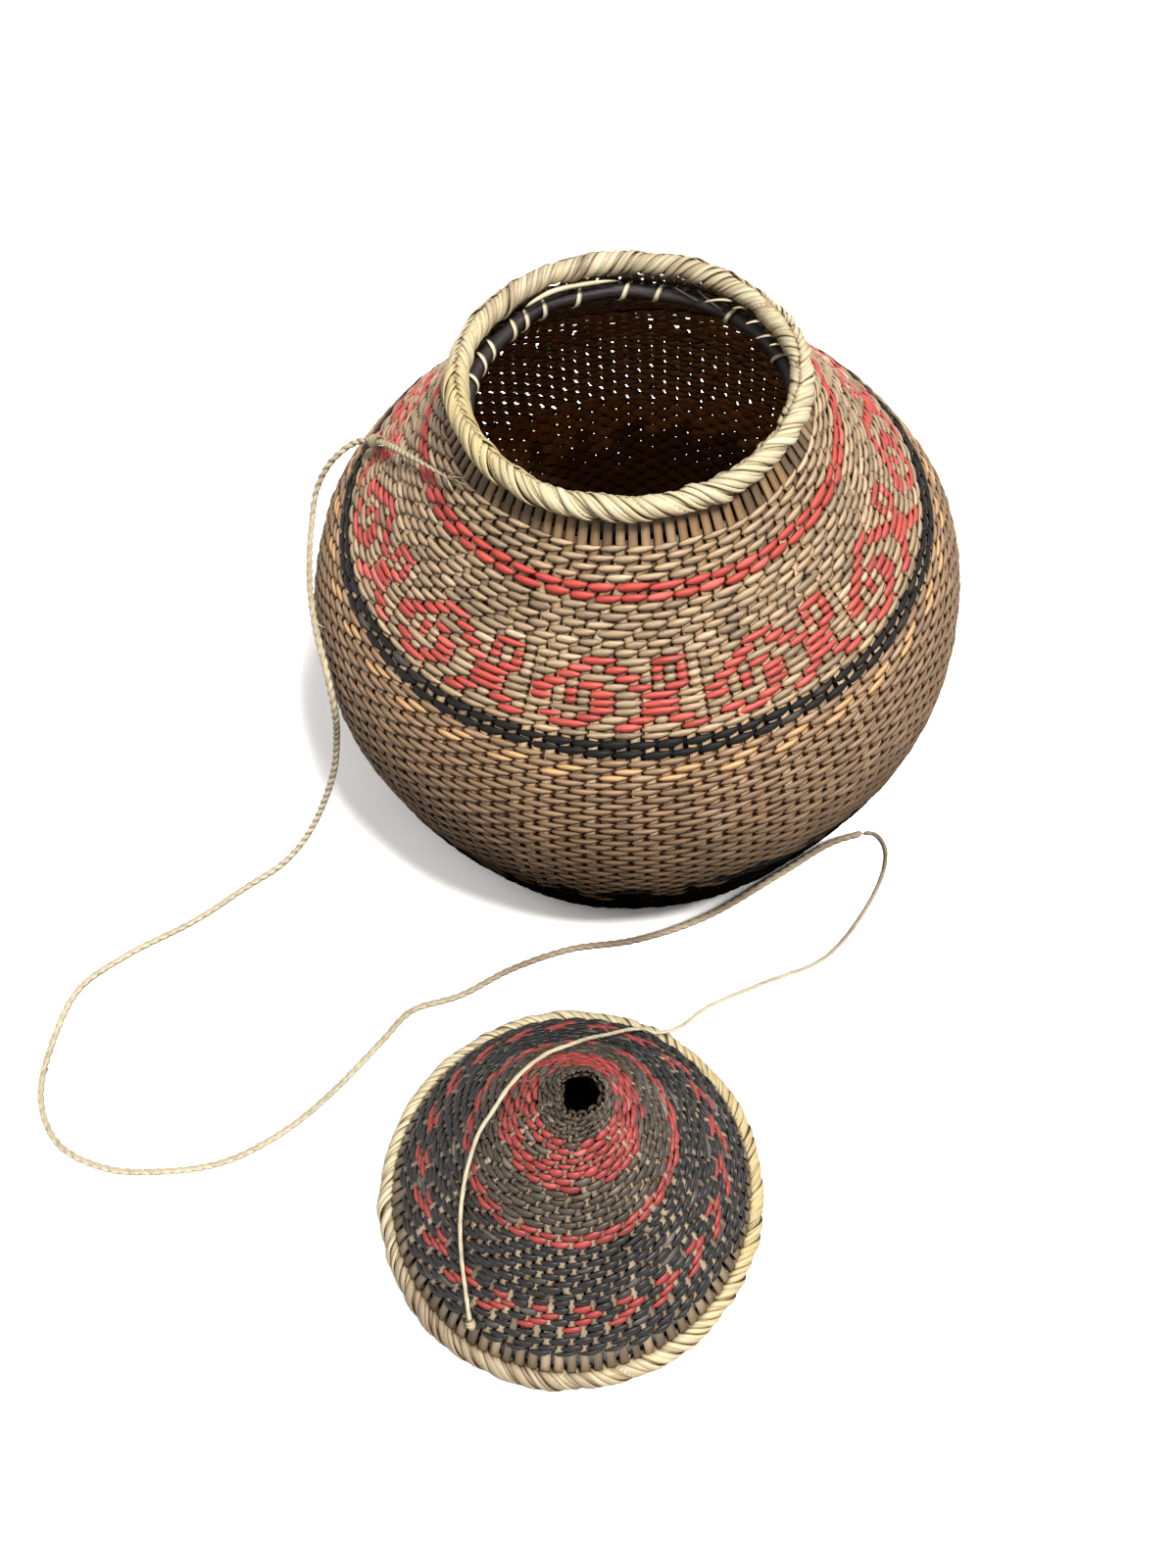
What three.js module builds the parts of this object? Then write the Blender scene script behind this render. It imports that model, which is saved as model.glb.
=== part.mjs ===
// Lidded woven basket with a tether cord, in millimetres, +Z up.
// The origin is the centre of the basket's base, on the floor it stands on.
// The conical lid stands on the same floor in front of the basket, towards -Y.

import * as THREE from "three";

// Basket wall, outer surface: radii and the heights they lie at
const base_radius = 92;
const heel_radius = 114;
const heel_height = 12;
const bowl_radius = 137;
const bowl_height = 39.5;
const belly_radius = 150;
const belly_height = 97;
const shoulder_radius = 141.2;
const shoulder_height = 145.6;
const slope_radius = 98.9;
const slope_height = 194.2;
const neck_radius = 68.6;
const neck_rise = 41.6;
const wall_thickness = 3;
const base_thickness = 3;

// Heights of the basket's runs of weft: the foot's from the floor, the others' down from the bare stakes
const foot_rows_height = 14;
const heel_wall_height = 36;
const belly_wall_height = 33;
const black_band_height = 6.4;
const figured_band_height = 24;
const plain_band_height = 16.5;
const red_band_height = 6.5;
const collar_rows_height = 12.5;

// Rows of weft that stand proud on the shoulder and the figured band
const row_pitch = 3.45;
const row_groove = 1;

// Warp stakes left bare under the two borders
const bare_neck_height = 9.9;
const neck_stake_count = 94;
const neck_stake_width = 3.4;
const lid_stake_count = 88;
const lid_stake_width = 4.1;
const stake_thickness = 1.6;
const stake_inset = 0.7;
const stake_heading = 2.4;

// Wrapped borders
const border_thickness = 10;
const mouth_border_outset = 0.8;
const mouth_border_rise = 4;

// Stiffening hoop lashed inside the mouth
const hoop_thickness = 7;
const hoop_drop = 6.3;
const lashing_count = 12;
const lashing_thickness = 1;
const lashing_width = 2.2;
const lashing_half_angle = 130;

// Lid cone, outer surface
const lid_place_x = -54.2;
const lid_place_y = -254.9;
const lid_clearance = 0.8;
const lid_margin_inset = 0.6;
const lid_brim_inset = 5.5;
const lid_brim_height = 20.6;
const lid_slope_radius = 42.9;
const lid_slope_height = 70.2;
const lid_cap_radius = 16.1;
const lid_cap_height = 111;
const lid_crown_radius = 10.6;
const lid_collar_height = 12.5;
const lid_wall_thickness = 2.6;
const lid_crown_shift = 7;

// Heights of the lid's runs of weft under its crown collar, from the lowest
const lid_red_ring_height = 5.8;
const lid_grey_rows_height = 17.2;
const lid_red_rows_height = 20.4;

// Tether cord: a two-ply run from the basket and a thin single-ply lead to the lid
const cord_diameter = 3.4;
const lead_diameter = 2;
const cord_sides = 8;
const cord_knot_at = 86;
const cord_knot_length = 9;
const cord_knot_thickness = 6;
const cord_landing_at = 383;
const lead_split_at = 163;
const lid_knot_length = 6;
const lid_knot_thickness = 3.4;
const side_step = 9;
const floor_step = 18;
const lead_step = 12;
const lid_step = 9;

// Gap kept between neighbouring pieces, and how finely round shapes are cut
const joint_gap = 0.3;
const facets = 48;
const border_sides = 8;
const zone_step = 12;
const lid_zone_step = 15;

// Two-ply cord: tail on the shoulder, knot, arch over the side, down, and round on the floor
const cord_route = [
  [-74.6, -31.4, 223.4],
  [-93, -2, 208],
  [-112, 34.4, 181.2],
  [-121, 41, 175],
  [-130.5, 40, 169],
  [-138, 38, 161],
  [-143.5, 34, 152],
  [-147, 24, 143],
  [-148.6, 8, 139],
  [-147.9, -15, 137.5],
  [-145.2, -34.6, 135],
  [-142.2, -50, 127.5],
  [-141.5, -59.7, 111],
  [-145.5, -59, 84],
  [-151, -62, 62],
  [-166, -68, 29],
  [-177, -73, 14.5],
  [-189, -78, 5.5],
  [-204, -85, 2],
  [-230, -102, 2],
  [-263, -118, 2],
  [-285, -134, 2],
  [-295, -160, 2],
  [-298, -188, 2],
  [-288, -211, 2],
  [-265, -225, 2],
  [-239, -229, 2],
  [-210, -227, 2],
  [-183, -215, 2],
  [-161, -198, 2],
  [-137, -174, 2],
  [-124, -161, 2],
  [-100, -155, 2],
  [-76, -144, 2],
  [-47, -136, 2],
  [-14, -134, 2],
  [21, -125, 2],
  [62, -104, 2],
  [88, -90, 2],
  [104, -86, 2],
];

// Single-ply lead: on from the two-ply cord's end, up over the lid's border and round its cone
const lead_route = [
  [104.8, -85.9, 2],
  [110.5, -87.4, 1.7],
  [113.8, -95, 1.3],
  [111, -108, 1.3],
  [98, -129, 1.3],
  [75, -152, 1.3],
  [45, -162, 1.3],
  [17, -172, 1.6],
  [6, -180, 4],
  [0.5, -184.5, 8.2],
  [-5, -187, 11.8],
  [-10, -188, 14],
  [-14.2, -188.2, 19],
  [-18.3, -191.4, 28.3],
  [-23, -195, 36.5],
  [-31.7, -204.6, 56],
  [-40, -213.1, 73.8],
  [-48, -222, 89.7],
  [-56, -227.4, 96.8],
  [-65, -234.5, 100.4],
  [-73.4, -241.5, 97.6],
  [-80, -248, 91.8],
  [-86.4, -253.2, 83.9],
  [-91.2, -260.5, 76],
  [-95.2, -269.5, 67.6],
  [-98.3, -281, 56.4],
  [-99.4, -292.7, 45],
  [-99.3, -300.7, 37.3],
  [-99, -309.2, 30.4],
  [-98.4, -316, 24.4],
];

const part = new THREE.Group();
part.name = "lidded_woven_basket";

// Colours of the fibres
const brown_weft = 0x9a805c;
const beige_weft = 0xa8906a;
const red_weft = 0xc65347;
const black_weft = 0x2a2624;
const grey_weft = 0x7d6b58;
const tan_stake = 0xb08e5e;
const straw = 0xd9c07e;
const raffia = 0xc9b78d;

function add_piece(name, geometry, colour, roughness) {
  const material = new THREE.MeshStandardMaterial({ color: colour, roughness, metalness: 0 });
  const mesh = new THREE.Mesh(geometry, material);
  mesh.name = name;
  part.add(mesh);
  return mesh;
}

function curve_through(points) {
  return new THREE.SplineCurve(points.map(([radius, height]) => new THREE.Vector2(radius, height)));
}

// The point of a rising curve at a height, moved inward by a depth square to the curve
function point_at(curve, height, depth) {
  const halvings = 40;
  let low = 0;
  let high = 1;
  for (let count = 0; count < halvings; count += 1) {
    const middle = (low + high) / 2;
    if (curve.getPoint(middle).y < height) {
      low = middle;
    } else {
      high = middle;
    }
  }
  const place = curve.getPoint(low);
  const along = curve.getTangent(low);
  return new THREE.Vector2(place.x - along.y * depth, place.y + along.x * depth);
}

// A closed outline turned about Z
function turn(outline) {
  const geometry = new THREE.LatheGeometry([...outline, outline[0]], facets);
  return geometry.rotateX(Math.PI / 2);
}

// Points of a curve at even heights, moved inward by the depth that each one's number gives
function points_between(curve, low, high, count, depth_of) {
  const points = [];
  for (let index = 0; index <= count; index += 1) {
    const height = low + ((high - low) * index) / count;
    points.push(point_at(curve, height, depth_of(index)));
  }
  return points;
}

// One band of woven wall between two heights of its outer surface
function wall_band(curve, low, high, thickness, step) {
  const count = Math.max(1, Math.round((high - low) / step));
  const outer = points_between(curve, low, high, count, () => 0);
  const inner = points_between(curve, low, high, count, () => thickness);
  return turn([...outer, ...inner.reverse()]);
}

// A band of wall whose rows of weft stand out as rounds, with a groove on either side of each
function ridged_band(curve, low, high, thickness, step) {
  const span = point_at(curve, low, 0).distanceTo(point_at(curve, high, 0));
  const rows = Math.round(span / row_pitch);
  const count = Math.max(1, Math.round((high - low) / step));
  const outer = points_between(curve, low, high, 2 * rows, (index) => (index % 2 === 0 ? row_groove : 0));
  const inner = points_between(curve, low, high, count, () => thickness);
  return turn([...outer, ...inner.reverse()]);
}

// Stakes that stand free between a solid heading ring and a border, as one comb
function stake_comb(curve, count, width, heading, slot, end) {
  const positions = [];
  const rising = end > slot;
  const outer_depth = stake_inset;
  const inner_depth = stake_inset + stake_thickness;
  const pitch = (2 * Math.PI) / count;
  const stake_angle = width / point_at(curve, slot, outer_depth).x;

  function corner(angle, height, depth) {
    const place = point_at(curve, height, depth);
    return new THREE.Vector3(place.x * Math.cos(angle), place.x * Math.sin(angle), place.y);
  }
  function face(corners) {
    const ring = rising ? corners : [...corners].reverse();
    for (let index = 1; index < ring.length - 1; index += 1) {
      for (const point of [ring[0], ring[index], ring[index + 1]]) {
        positions.push(point.x, point.y, point.z);
      }
    }
  }

  for (let index = 0; index < count; index += 1) {
    const start = index * pitch;
    const edge = start + stake_angle;
    const next = ((index + 1) % count) * pitch;
    const outer = (angle, height) => corner(angle, height, outer_depth);
    const inner = (angle, height) => corner(angle, height, inner_depth);
    face([outer(start, heading), outer(next, heading), outer(next, slot), outer(edge, slot), outer(start, slot)]);
    face([inner(start, slot), inner(edge, slot), inner(next, slot), inner(next, heading), inner(start, heading)]);
    face([inner(start, heading), inner(next, heading), outer(next, heading), outer(start, heading)]);
    face([outer(edge, slot), outer(next, slot), inner(next, slot), inner(edge, slot)]);
    face([outer(start, slot), outer(edge, slot), outer(edge, end), outer(start, end)]);
    face([inner(start, slot), inner(start, end), inner(edge, end), inner(edge, slot)]);
    face([outer(start, slot), outer(start, end), inner(start, end), inner(start, slot)]);
    face([outer(edge, slot), inner(edge, slot), inner(edge, end), outer(edge, end)]);
    face([outer(start, end), outer(edge, end), inner(edge, end), inner(start, end)]);
  }
  const geometry = new THREE.BufferGeometry();
  geometry.setAttribute("position", new THREE.Float32BufferAttribute(positions, 3));
  geometry.computeVertexNormals();
  return geometry;
}

function border_ring(radius, height) {
  const geometry = new THREE.TorusGeometry(radius, border_thickness / 2, border_sides, facets);
  return geometry.translate(0, 0, height);
}

// Basket

const neck_height = slope_height + neck_rise;
const collar_top = neck_height - bare_neck_height;

const wall_curve = curve_through([
  [base_radius, 0],
  [heel_radius, heel_height],
  [bowl_radius, bowl_height],
  [belly_radius, belly_height],
  [shoulder_radius, shoulder_height],
  [slope_radius, slope_height],
  [neck_radius, neck_height],
]);

function add_base() {
  const wall_foot = point_at(wall_curve, 0, wall_thickness);
  const outline = [
    new THREE.Vector2(0, 0),
    new THREE.Vector2(base_radius - joint_gap, 0),
    new THREE.Vector2(Math.min(wall_foot.x, base_radius) - joint_gap, base_thickness),
    new THREE.Vector2(0, base_thickness),
  ];
  add_piece("base_disc", turn(outline), brown_weft, 0.8);
}

function add_wall_bands() {
  const red_band_top = collar_top - collar_rows_height;
  const plain_top = red_band_top - red_band_height;
  const figured_top = plain_top - plain_band_height;
  const black_band_top = figured_top - figured_band_height;
  const shoulder_top = black_band_top - black_band_height;
  const bands = [
    ["foot_rows", foot_rows_height, black_weft, wall_band],
    ["heel_wall", foot_rows_height + heel_wall_height, brown_weft, wall_band],
    ["bowl_wall", belly_height, brown_weft, wall_band],
    ["belly_wall", belly_height + belly_wall_height, brown_weft, wall_band],
    ["shoulder_wall", shoulder_top, brown_weft, ridged_band],
    ["black_band", black_band_top, black_weft, wall_band],
    ["figured_band", figured_top, beige_weft, ridged_band],
    ["plain_band", plain_top, beige_weft, wall_band],
    ["red_band", red_band_top, red_weft, wall_band],
    ["collar_rows", collar_top, beige_weft, wall_band],
  ];
  let low = 0;
  for (const [name, high, colour, shape] of bands) {
    add_piece(name, shape(wall_curve, low, high, wall_thickness, zone_step), colour, 0.75);
    low = high + joint_gap;
  }
}

const mouth_border_radius = neck_radius + mouth_border_outset;
const mouth_border_height = neck_height + mouth_border_rise;

function add_neck() {
  const heading = collar_top + joint_gap;
  const slot = heading + stake_heading;
  const border_foot = mouth_border_height - border_thickness / 2;
  const end = border_foot - joint_gap;
  const comb = stake_comb(wall_curve, neck_stake_count, neck_stake_width, heading, slot, end);
  add_piece("neck_stakes", comb, tan_stake, 0.7);
  add_piece("mouth_border", border_ring(mouth_border_radius, mouth_border_height), straw, 0.65);
}

// The hoop lies against the inside of the wall, and each lashing clips it from the mouth's side
function add_hoop() {
  const hoop_radius = hoop_thickness / 2;
  const hoop_height = neck_height - hoop_drop;
  const centre = point_at(wall_curve, hoop_height, wall_thickness + joint_gap + hoop_radius);
  const surface = point_at(wall_curve, hoop_height, 0);
  const outward = Math.atan2(surface.y - centre.y, surface.x - centre.x);
  const hoop = new THREE.TorusGeometry(centre.x, hoop_radius, border_sides, facets);
  add_piece("inner_hoop", hoop.translate(0, 0, centre.y), black_weft, 0.6);

  const inner = hoop_radius + joint_gap;
  const outer = inner + lashing_thickness;
  const half_angle = THREE.MathUtils.degToRad(lashing_half_angle);
  const middle = outward + Math.PI;
  const band = new THREE.Shape();
  band.absarc(0, 0, outer, middle - half_angle, middle + half_angle, false);
  band.absarc(0, 0, inner, middle + half_angle, middle - half_angle, true);
  const band_facets = 8;
  for (let index = 0; index < lashing_count; index += 1) {
    const clip = new THREE.ExtrudeGeometry(band, {
      depth: lashing_width,
      bevelEnabled: false,
      curveSegments: band_facets,
    });
    clip.translate(centre.x, centre.y, -lashing_width / 2);
    clip.rotateX(Math.PI / 2);
    const label = String(index + 1).padStart(2, "0");
    const mesh = add_piece(`hoop_lashing_${label}`, clip, raffia, 0.8);
    mesh.rotation.z = ((index + 0.5) * 2 * Math.PI) / lashing_count;
  }
}

// Lid

const mouth_border_reach = mouth_border_radius + border_thickness / 2;
const lid_border_radius = mouth_border_reach + lid_clearance + border_thickness / 2;
const lid_border_height = border_thickness / 2;
const lid_margin_height = border_thickness + joint_gap;
const lid_crown_height = lid_cap_height + lid_collar_height;

const lid_curve = curve_through([
  [lid_border_radius - lid_margin_inset, lid_margin_height - joint_gap],
  [lid_border_radius - lid_brim_inset, lid_brim_height],
  [lid_slope_radius, lid_slope_height],
  [lid_cap_radius, lid_cap_height],
  [lid_crown_radius, lid_crown_height],
]);

// The lid's crown leans a little to one side, as the hand-woven cone does
function lean_crown(geometry) {
  const positions = geometry.getAttribute("position");
  for (let index = 0; index < positions.count; index += 1) {
    const height = positions.getZ(index);
    const shift = (lid_crown_shift * height) / lid_crown_height;
    positions.setX(index, positions.getX(index) + shift);
  }
  return geometry;
}

function add_lid_piece(name, geometry, colour, roughness) {
  const mesh = add_piece(name, lean_crown(geometry), colour, roughness);
  mesh.position.set(lid_place_x, lid_place_y, 0);
}

function add_lid() {
  add_lid_piece("lid_border", border_ring(lid_border_radius, lid_border_height), straw, 0.65);

  const heading = lid_brim_height + stake_heading;
  const comb = stake_comb(
    lid_curve, lid_stake_count, lid_stake_width, heading, lid_brim_height, lid_margin_height);
  add_lid_piece("lid_margin_stakes", comb, tan_stake, 0.7);

  const grey_top = lid_cap_height - lid_red_rows_height;
  const red_ring_top = grey_top - lid_grey_rows_height;
  const bands = [
    ["lid_black_rows", red_ring_top - lid_red_ring_height, black_weft],
    ["lid_red_ring", red_ring_top, red_weft],
    ["lid_grey_rows", grey_top, grey_weft],
    ["lid_red_rows", lid_cap_height, red_weft],
    ["lid_crown_collar", lid_crown_height, grey_weft],
  ];
  let low = heading + joint_gap;
  for (const [name, high, colour] of bands) {
    const band = wall_band(lid_curve, low, high, lid_wall_thickness, lid_zone_step);
    add_lid_piece(name, band, colour, 0.75);
    low = high + joint_gap;
  }
}

// Tether cord

// A stretch of a route, measured along it in millimetres
class Stretch extends THREE.Curve {
  constructor(route, from, to) {
    super();
    this.route = route;
    this.from = from;
    this.to = to;
  }

  getPoint(share, target = new THREE.Vector3()) {
    const at = this.from + (this.to - this.from) * share;
    return this.route.getPointAt(at / this.route.getLength(), target);
  }
}

function route_through(points) {
  const route = new THREE.CatmullRomCurve3(points.map((point) => new THREE.Vector3(...point)));
  route.arcLengthDivisions = 2000;
  return route;
}

function cord_tube(route, from, to, diameter, step) {
  const section = new THREE.Shape();
  for (let side = 0; side < cord_sides; side += 1) {
    const angle = (side * 2 * Math.PI) / cord_sides;
    const corner = [Math.cos(angle) * (diameter / 2), Math.sin(angle) * (diameter / 2)];
    if (side === 0) {
      section.moveTo(...corner);
    } else {
      section.lineTo(...corner);
    }
  }
  return new THREE.ExtrudeGeometry(section, {
    steps: Math.max(2, Math.round((to - from) / step)),
    extrudePath: new Stretch(route, from, to),
  });
}

// A tight knot, as a rounded lump drawn out along the cord
function knot(route, at, length, thickness) {
  const around = 10;
  const along_rings = 6;
  const geometry = new THREE.SphereGeometry(1, around, along_rings);
  geometry.scale(thickness / 2, length / 2, thickness / 2);
  const share = at / route.getLength();
  const along = route.getTangentAt(share);
  geometry.applyQuaternion(new THREE.Quaternion().setFromUnitVectors(new THREE.Vector3(0, 1, 0), along));
  const place = route.getPointAt(share);
  return geometry.translate(place.x, place.y, place.z);
}

function add_cord() {
  const cord = route_through(cord_route);
  const knot_reach = cord_knot_length / 2 + joint_gap;
  const tail_end = cord_knot_at - knot_reach;
  const side_start = cord_knot_at + knot_reach;
  const floor_start = cord_landing_at + joint_gap;
  add_piece("cord_tail", cord_tube(cord, 0, tail_end, cord_diameter, side_step), raffia, 0.85);
  const basket_knot = knot(cord, cord_knot_at, cord_knot_length, cord_knot_thickness);
  add_piece("cord_knot", basket_knot, raffia, 0.85);
  const side_run = cord_tube(cord, side_start, cord_landing_at, cord_diameter, side_step);
  add_piece("cord_side_run", side_run, raffia, 0.85);
  const floor_run = cord_tube(cord, floor_start, cord.getLength(), cord_diameter, floor_step);
  add_piece("cord_floor_run", floor_run, raffia, 0.85);

  const lead = route_through(lead_route);
  const lid_knot_centre = lead.getLength() - lid_knot_length / 2;
  const over_lid_start = lead_split_at + joint_gap;
  const over_lid_end = lead.getLength() - lid_knot_length - joint_gap;
  add_piece("cord_lead", cord_tube(lead, 0, lead_split_at, lead_diameter, lead_step), raffia, 0.85);
  const over_lid = cord_tube(lead, over_lid_start, over_lid_end, lead_diameter, lid_step);
  add_piece("cord_over_lid", over_lid, raffia, 0.85);
  const tie = knot(lead, lid_knot_centre, lid_knot_length, lid_knot_thickness);
  add_piece("lid_cord_knot", tie, raffia, 0.85);
}

add_base();
add_wall_bands();
add_neck();
add_hoop();
add_lid();
add_cord();

export default part;
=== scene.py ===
import math
from collections import namedtuple

import bpy
import numpy as np
from bpy.props import FloatProperty, FloatVectorProperty, IntProperty, PointerProperty
from mathutils import Matrix, Vector


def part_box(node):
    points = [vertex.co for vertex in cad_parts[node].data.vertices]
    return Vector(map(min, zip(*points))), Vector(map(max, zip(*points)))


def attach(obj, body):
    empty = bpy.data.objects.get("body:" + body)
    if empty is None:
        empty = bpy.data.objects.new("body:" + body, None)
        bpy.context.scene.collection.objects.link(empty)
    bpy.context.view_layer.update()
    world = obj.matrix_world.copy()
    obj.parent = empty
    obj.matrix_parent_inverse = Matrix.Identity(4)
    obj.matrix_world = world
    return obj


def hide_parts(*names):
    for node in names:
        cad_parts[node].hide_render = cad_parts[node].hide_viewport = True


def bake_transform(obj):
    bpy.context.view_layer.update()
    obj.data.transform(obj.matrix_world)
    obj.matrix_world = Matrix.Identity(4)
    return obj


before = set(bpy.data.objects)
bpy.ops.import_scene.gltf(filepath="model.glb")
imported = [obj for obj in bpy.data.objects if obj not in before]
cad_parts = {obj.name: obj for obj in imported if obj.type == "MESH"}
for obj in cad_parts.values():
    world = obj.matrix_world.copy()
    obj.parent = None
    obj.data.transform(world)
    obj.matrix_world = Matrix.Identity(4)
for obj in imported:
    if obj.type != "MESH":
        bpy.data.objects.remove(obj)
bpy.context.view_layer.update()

bl_info = {
    "name": "Lidded Woven Basket",
    "version": (1, 0, 0),
    "blender": (4, 5, 0),
    "location": "View3D > Sidebar > Basket",
    "description": "A twined basket, its conical lid and the cord that ties them",
    "category": "Add Mesh",
}

Dent = namedtuple("Dent", "heading spread height tall inward down")
Band = namedtuple("Band", "finish slot reach rows pitch tone spread dyed slim",
                  defaults=(1.11, None, 1.0, 0.5, 0.21, 0.0, 1.0))
Twist = namedtuple("Twist", "lobe gap pitch ring start_taper end_taper aged_at aged")
Knot = namedtuple("Knot", "long radius ply turns")
Border = namedtuple("Border", "seed strips width span seam turn age grey gold")
Weave = namedtuple("Weave", "surface rows stakes")
Ring = namedtuple("Ring", "radius centre thick")
Strip = namedtuple("Strip", "start past width stations")
Uneven = namedtuple("Uneven", "long place slant rise lift height thick loose")

# Lengths are in millimetres, angles round the basket in degrees with the front at -90, unless said otherwise.
MM = 0.001
TURN = 2.0 * math.pi
UP = np.array([0.0, 0.0, 1.0])
AXIS = (0.0, 0.0)
LOWEST = 0.05
# Seeds of each part's unevenness; a band adds its number to the pair for the plan and the floats.
BASE_SEEDS = 21, 22
WALL_SEEDS = 100, 200
LID_SEEDS = 300, 320
STAKE_SEEDS = {"basket": 31, "lid": 61}
FRAY_SEED = 11
HOOP_SEED = 51

# Outer curve of the wall, radius and height, from the foot to the neck.
WALL_CURVE = ((92, 0), (114, 12), (137, 39.5), (150, 97), (141.2, 145.6), (98.9, 194.2), (68.6, 235.8))
# Points along a curve between two of those given.
CURVE_POINTS = 60
WALL_THICKNESS = 3.0
BASE_HEIGHT = 1.9
BASE_HUB = 3.0
# How far inside the foot the flat of the base ends, and where its rows start along it.
BASE_MARGIN = 3.0
BASE_START = 1.5
# Height of the base's edge, under which no band of the wall starts.
BASE_EDGE = 1.6
# Stakes on the base: the fewest, and how far apart they are where it is too small for all of them.
FEWEST_STAKES = 6.0
BASE_SPACING = 4.0
# Rows under the mouth border that already have the neck's count of stakes.
NECK_STEADY_ROWS = 4

# Outer curve of the lid, from the margin to the crown, about its own leaning axis.
LID_CURVE = ((79.6, 10.0), (74.7, 20.6), (42.9, 70.2), (16.1, 111), (10.6, 123.5))
LID_THICKNESS = 2.6
LID_LEAN = 7.0 / 123.5
# Height of the lid's border, which the leaning axis is centred on.
LID_FOOT = 5.0
# The lid's row pitch and unevenness against the wall's.
LID_FINENESS = 0.96
LID_EVENNESS = 0.8
# Stakes near the crown: their count at the axis and how it grows with the radius.
CROWN_STAKES = 20
CROWN_GROWTH = 0.92

# Dents: where each is, how far it spreads round and up, and how far it goes in and down.
WALL_DENTS = (
    Dent(-57.0, 26.0, 45.0, 42.0, 4.0, 0.0), Dent(-135.0, 22.0, 45.0, 36.0, 1.8, 0.0),
    Dent(48.0, 40.0, 245.0, 26.0, 0.0, 2.4), Dent(150.0, 30.0, 245.0, 26.0, 0.0, -0.8),
)
LID_DENTS = (
    Dent(180.0, 62.0, 124.0, 14.0, 5.6, 0.0), Dent(0.0, 62.0, 124.0, 14.0, -3.0, 0.0),
    Dent(-90.0, 50.0, 124.0, 12.0, 0.4, 0.0), Dent(90.0, 50.0, 124.0, 12.0, 2.0, 0.0),
)
# Where rows sag: the height, how far that spreads along the wall, and how far they fall.
WALL_SAGS = ((178.0, 42.0, 2.6),)
LID_SAGS = ((14.0, 32.0, 1.6),)
# Waves of hand work: size, waves round the basket, change along the wall, and start in radians.
ROW_WAVES = ((0.7, 3, 0.021, 0.0), (0.5, 8, -0.037, 1.7))
WALL_WAVES = ((0.5, 5, 0.03, 0.0), (0.45, 12, -0.05, 0.0))
MOUTH_WAVES = ((0.35, 7, 0.0, 0.6), (0.25, 13, 0.0, 0.0))
BORDER_WAVES = ((0.3, 9, 0.0, 0.0), (0.25, 23, 0.0, 1.0))
HOOP_WAVES = ((0.4, 4, 0.0, 0.0), (0.3, 9, 0.0, 1.0))
HOOP_RISES = ((0.5, 3, 0.0, 2.0),)
HOOP_LUMPS = ((0.04, 11, 0.0, 0.0),)

# Each band from the foot up: its finish and slot, how far its floats reach round their stakes, its rows
# where they are counted in the photograph, its pitch against the rest, its floats' tone and how far that
# varies, the share of them that is dyed, and how high they are against the others.
BASE_BAND = Band("brown_weft", "brown_weft", 1.0, tone=0.4, spread=0.2)
WALL_BANDS = {
    "foot_rows": Band("black_weft", "black_weft", 1.0, tone=0.45, spread=0.2, dyed=0.1),
    "heel_wall": Band("brown_weft", "brown_weft", 1.0, tone=0.44, spread=0.17),
    "bowl_wall": Band("brown_weft", "brown_weft", 1.02, tone=0.44, spread=0.17),
    "belly_wall": Band("brown_weft", "brown_weft", 1.05),
    "shoulder_wall": Band("brown_weft", "brown_weft", 1.08, spread=0.15),
    "black_band": Band("black_weft", "black_weft", 1.15, 2, slim=0.9),
    "figured_band": Band("beige_weft", "figured_weft", 1.15, 10, tone=0.52, spread=0.22),
    "plain_band": Band("beige_weft", "beige_weft", rows=6, slim=1.12),
    "red_band": Band("red_weft", "red_weft", rows=2, slim=1.1),
    "collar_rows": Band("beige_weft", "beige_weft", rows=4, tone=0.56, spread=0.16),
}
LID_BANDS = {
    "lid_black_rows": Band("lid_black_weft", "black_weft", 0.97, spread=0.18, slim=1.2),
    "lid_red_ring": Band("lid_red_weft", "red_weft", 1.05, 2, spread=0.18, dyed=0.12, slim=1.2),
    "lid_grey_rows": Band("grey_weft", "grey_weft", 0.99, spread=0.18, slim=1.2),
    "lid_red_rows": Band("lid_red_weft", "red_weft", 1.05, spread=0.18, dyed=0.14, slim=1.2),
    "lid_crown_collar": Band("grey_weft", "grey_weft", 1.0, pitch=0.76, spread=0.18),
}
# The rows under the black band are warmer, and the collar's top row is looser and paler.
WARM_ROWS = 3
WARM_TONE = 0.62
LOOSE_COLLAR = {"tone": 0.66, "slim": 0.85}

# The figures, row by row from the top: b is beige and R red, and the number is how many stakes it covers.
FIGURE_CHART = (
    "b2 b2 R3 b3 R3 b1",
    "b1 b2 R2 b1 R2 b2 R1 b1 R1 b1",
    "b2 R2 b3 R2 b1 R1 b1 R1 b1",
    "b1 R2 b1 R2 b2 R2 b1 R2 b1",
    "R2 b1 R1 b1 R2 b2 R3 b2",
    "R2 b1 R1 b1 R2 b2 R3 b2",
    "b2 b3 R2 b2 R3 b2",
    "b1 R2 b1 R2 b2 R2 b1 R2 b1",
    "b2 R3 b2 R2 b3 R2",
)
FIGURE_TONES = (0.5, 0.55)
FIGURE_SPREAD = 0.22
FIGURE_SLIM = 1.15
FIRST_FIGURE_ANGLE = math.radians(-80.45)
FIRST_LID_ANGLE = math.radians(-79.4)
# Rows of the lid that hold a red mark, and the first stake of the mark's float in each.
LID_MARKS = {3: 0, 4: 1, 5: 2, 6: 1}
LID_MARK_TONE = 0.5
# How much the lid's rows vary in height from one to the next.
LID_SLIM_SPREAD = 0.1
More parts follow.
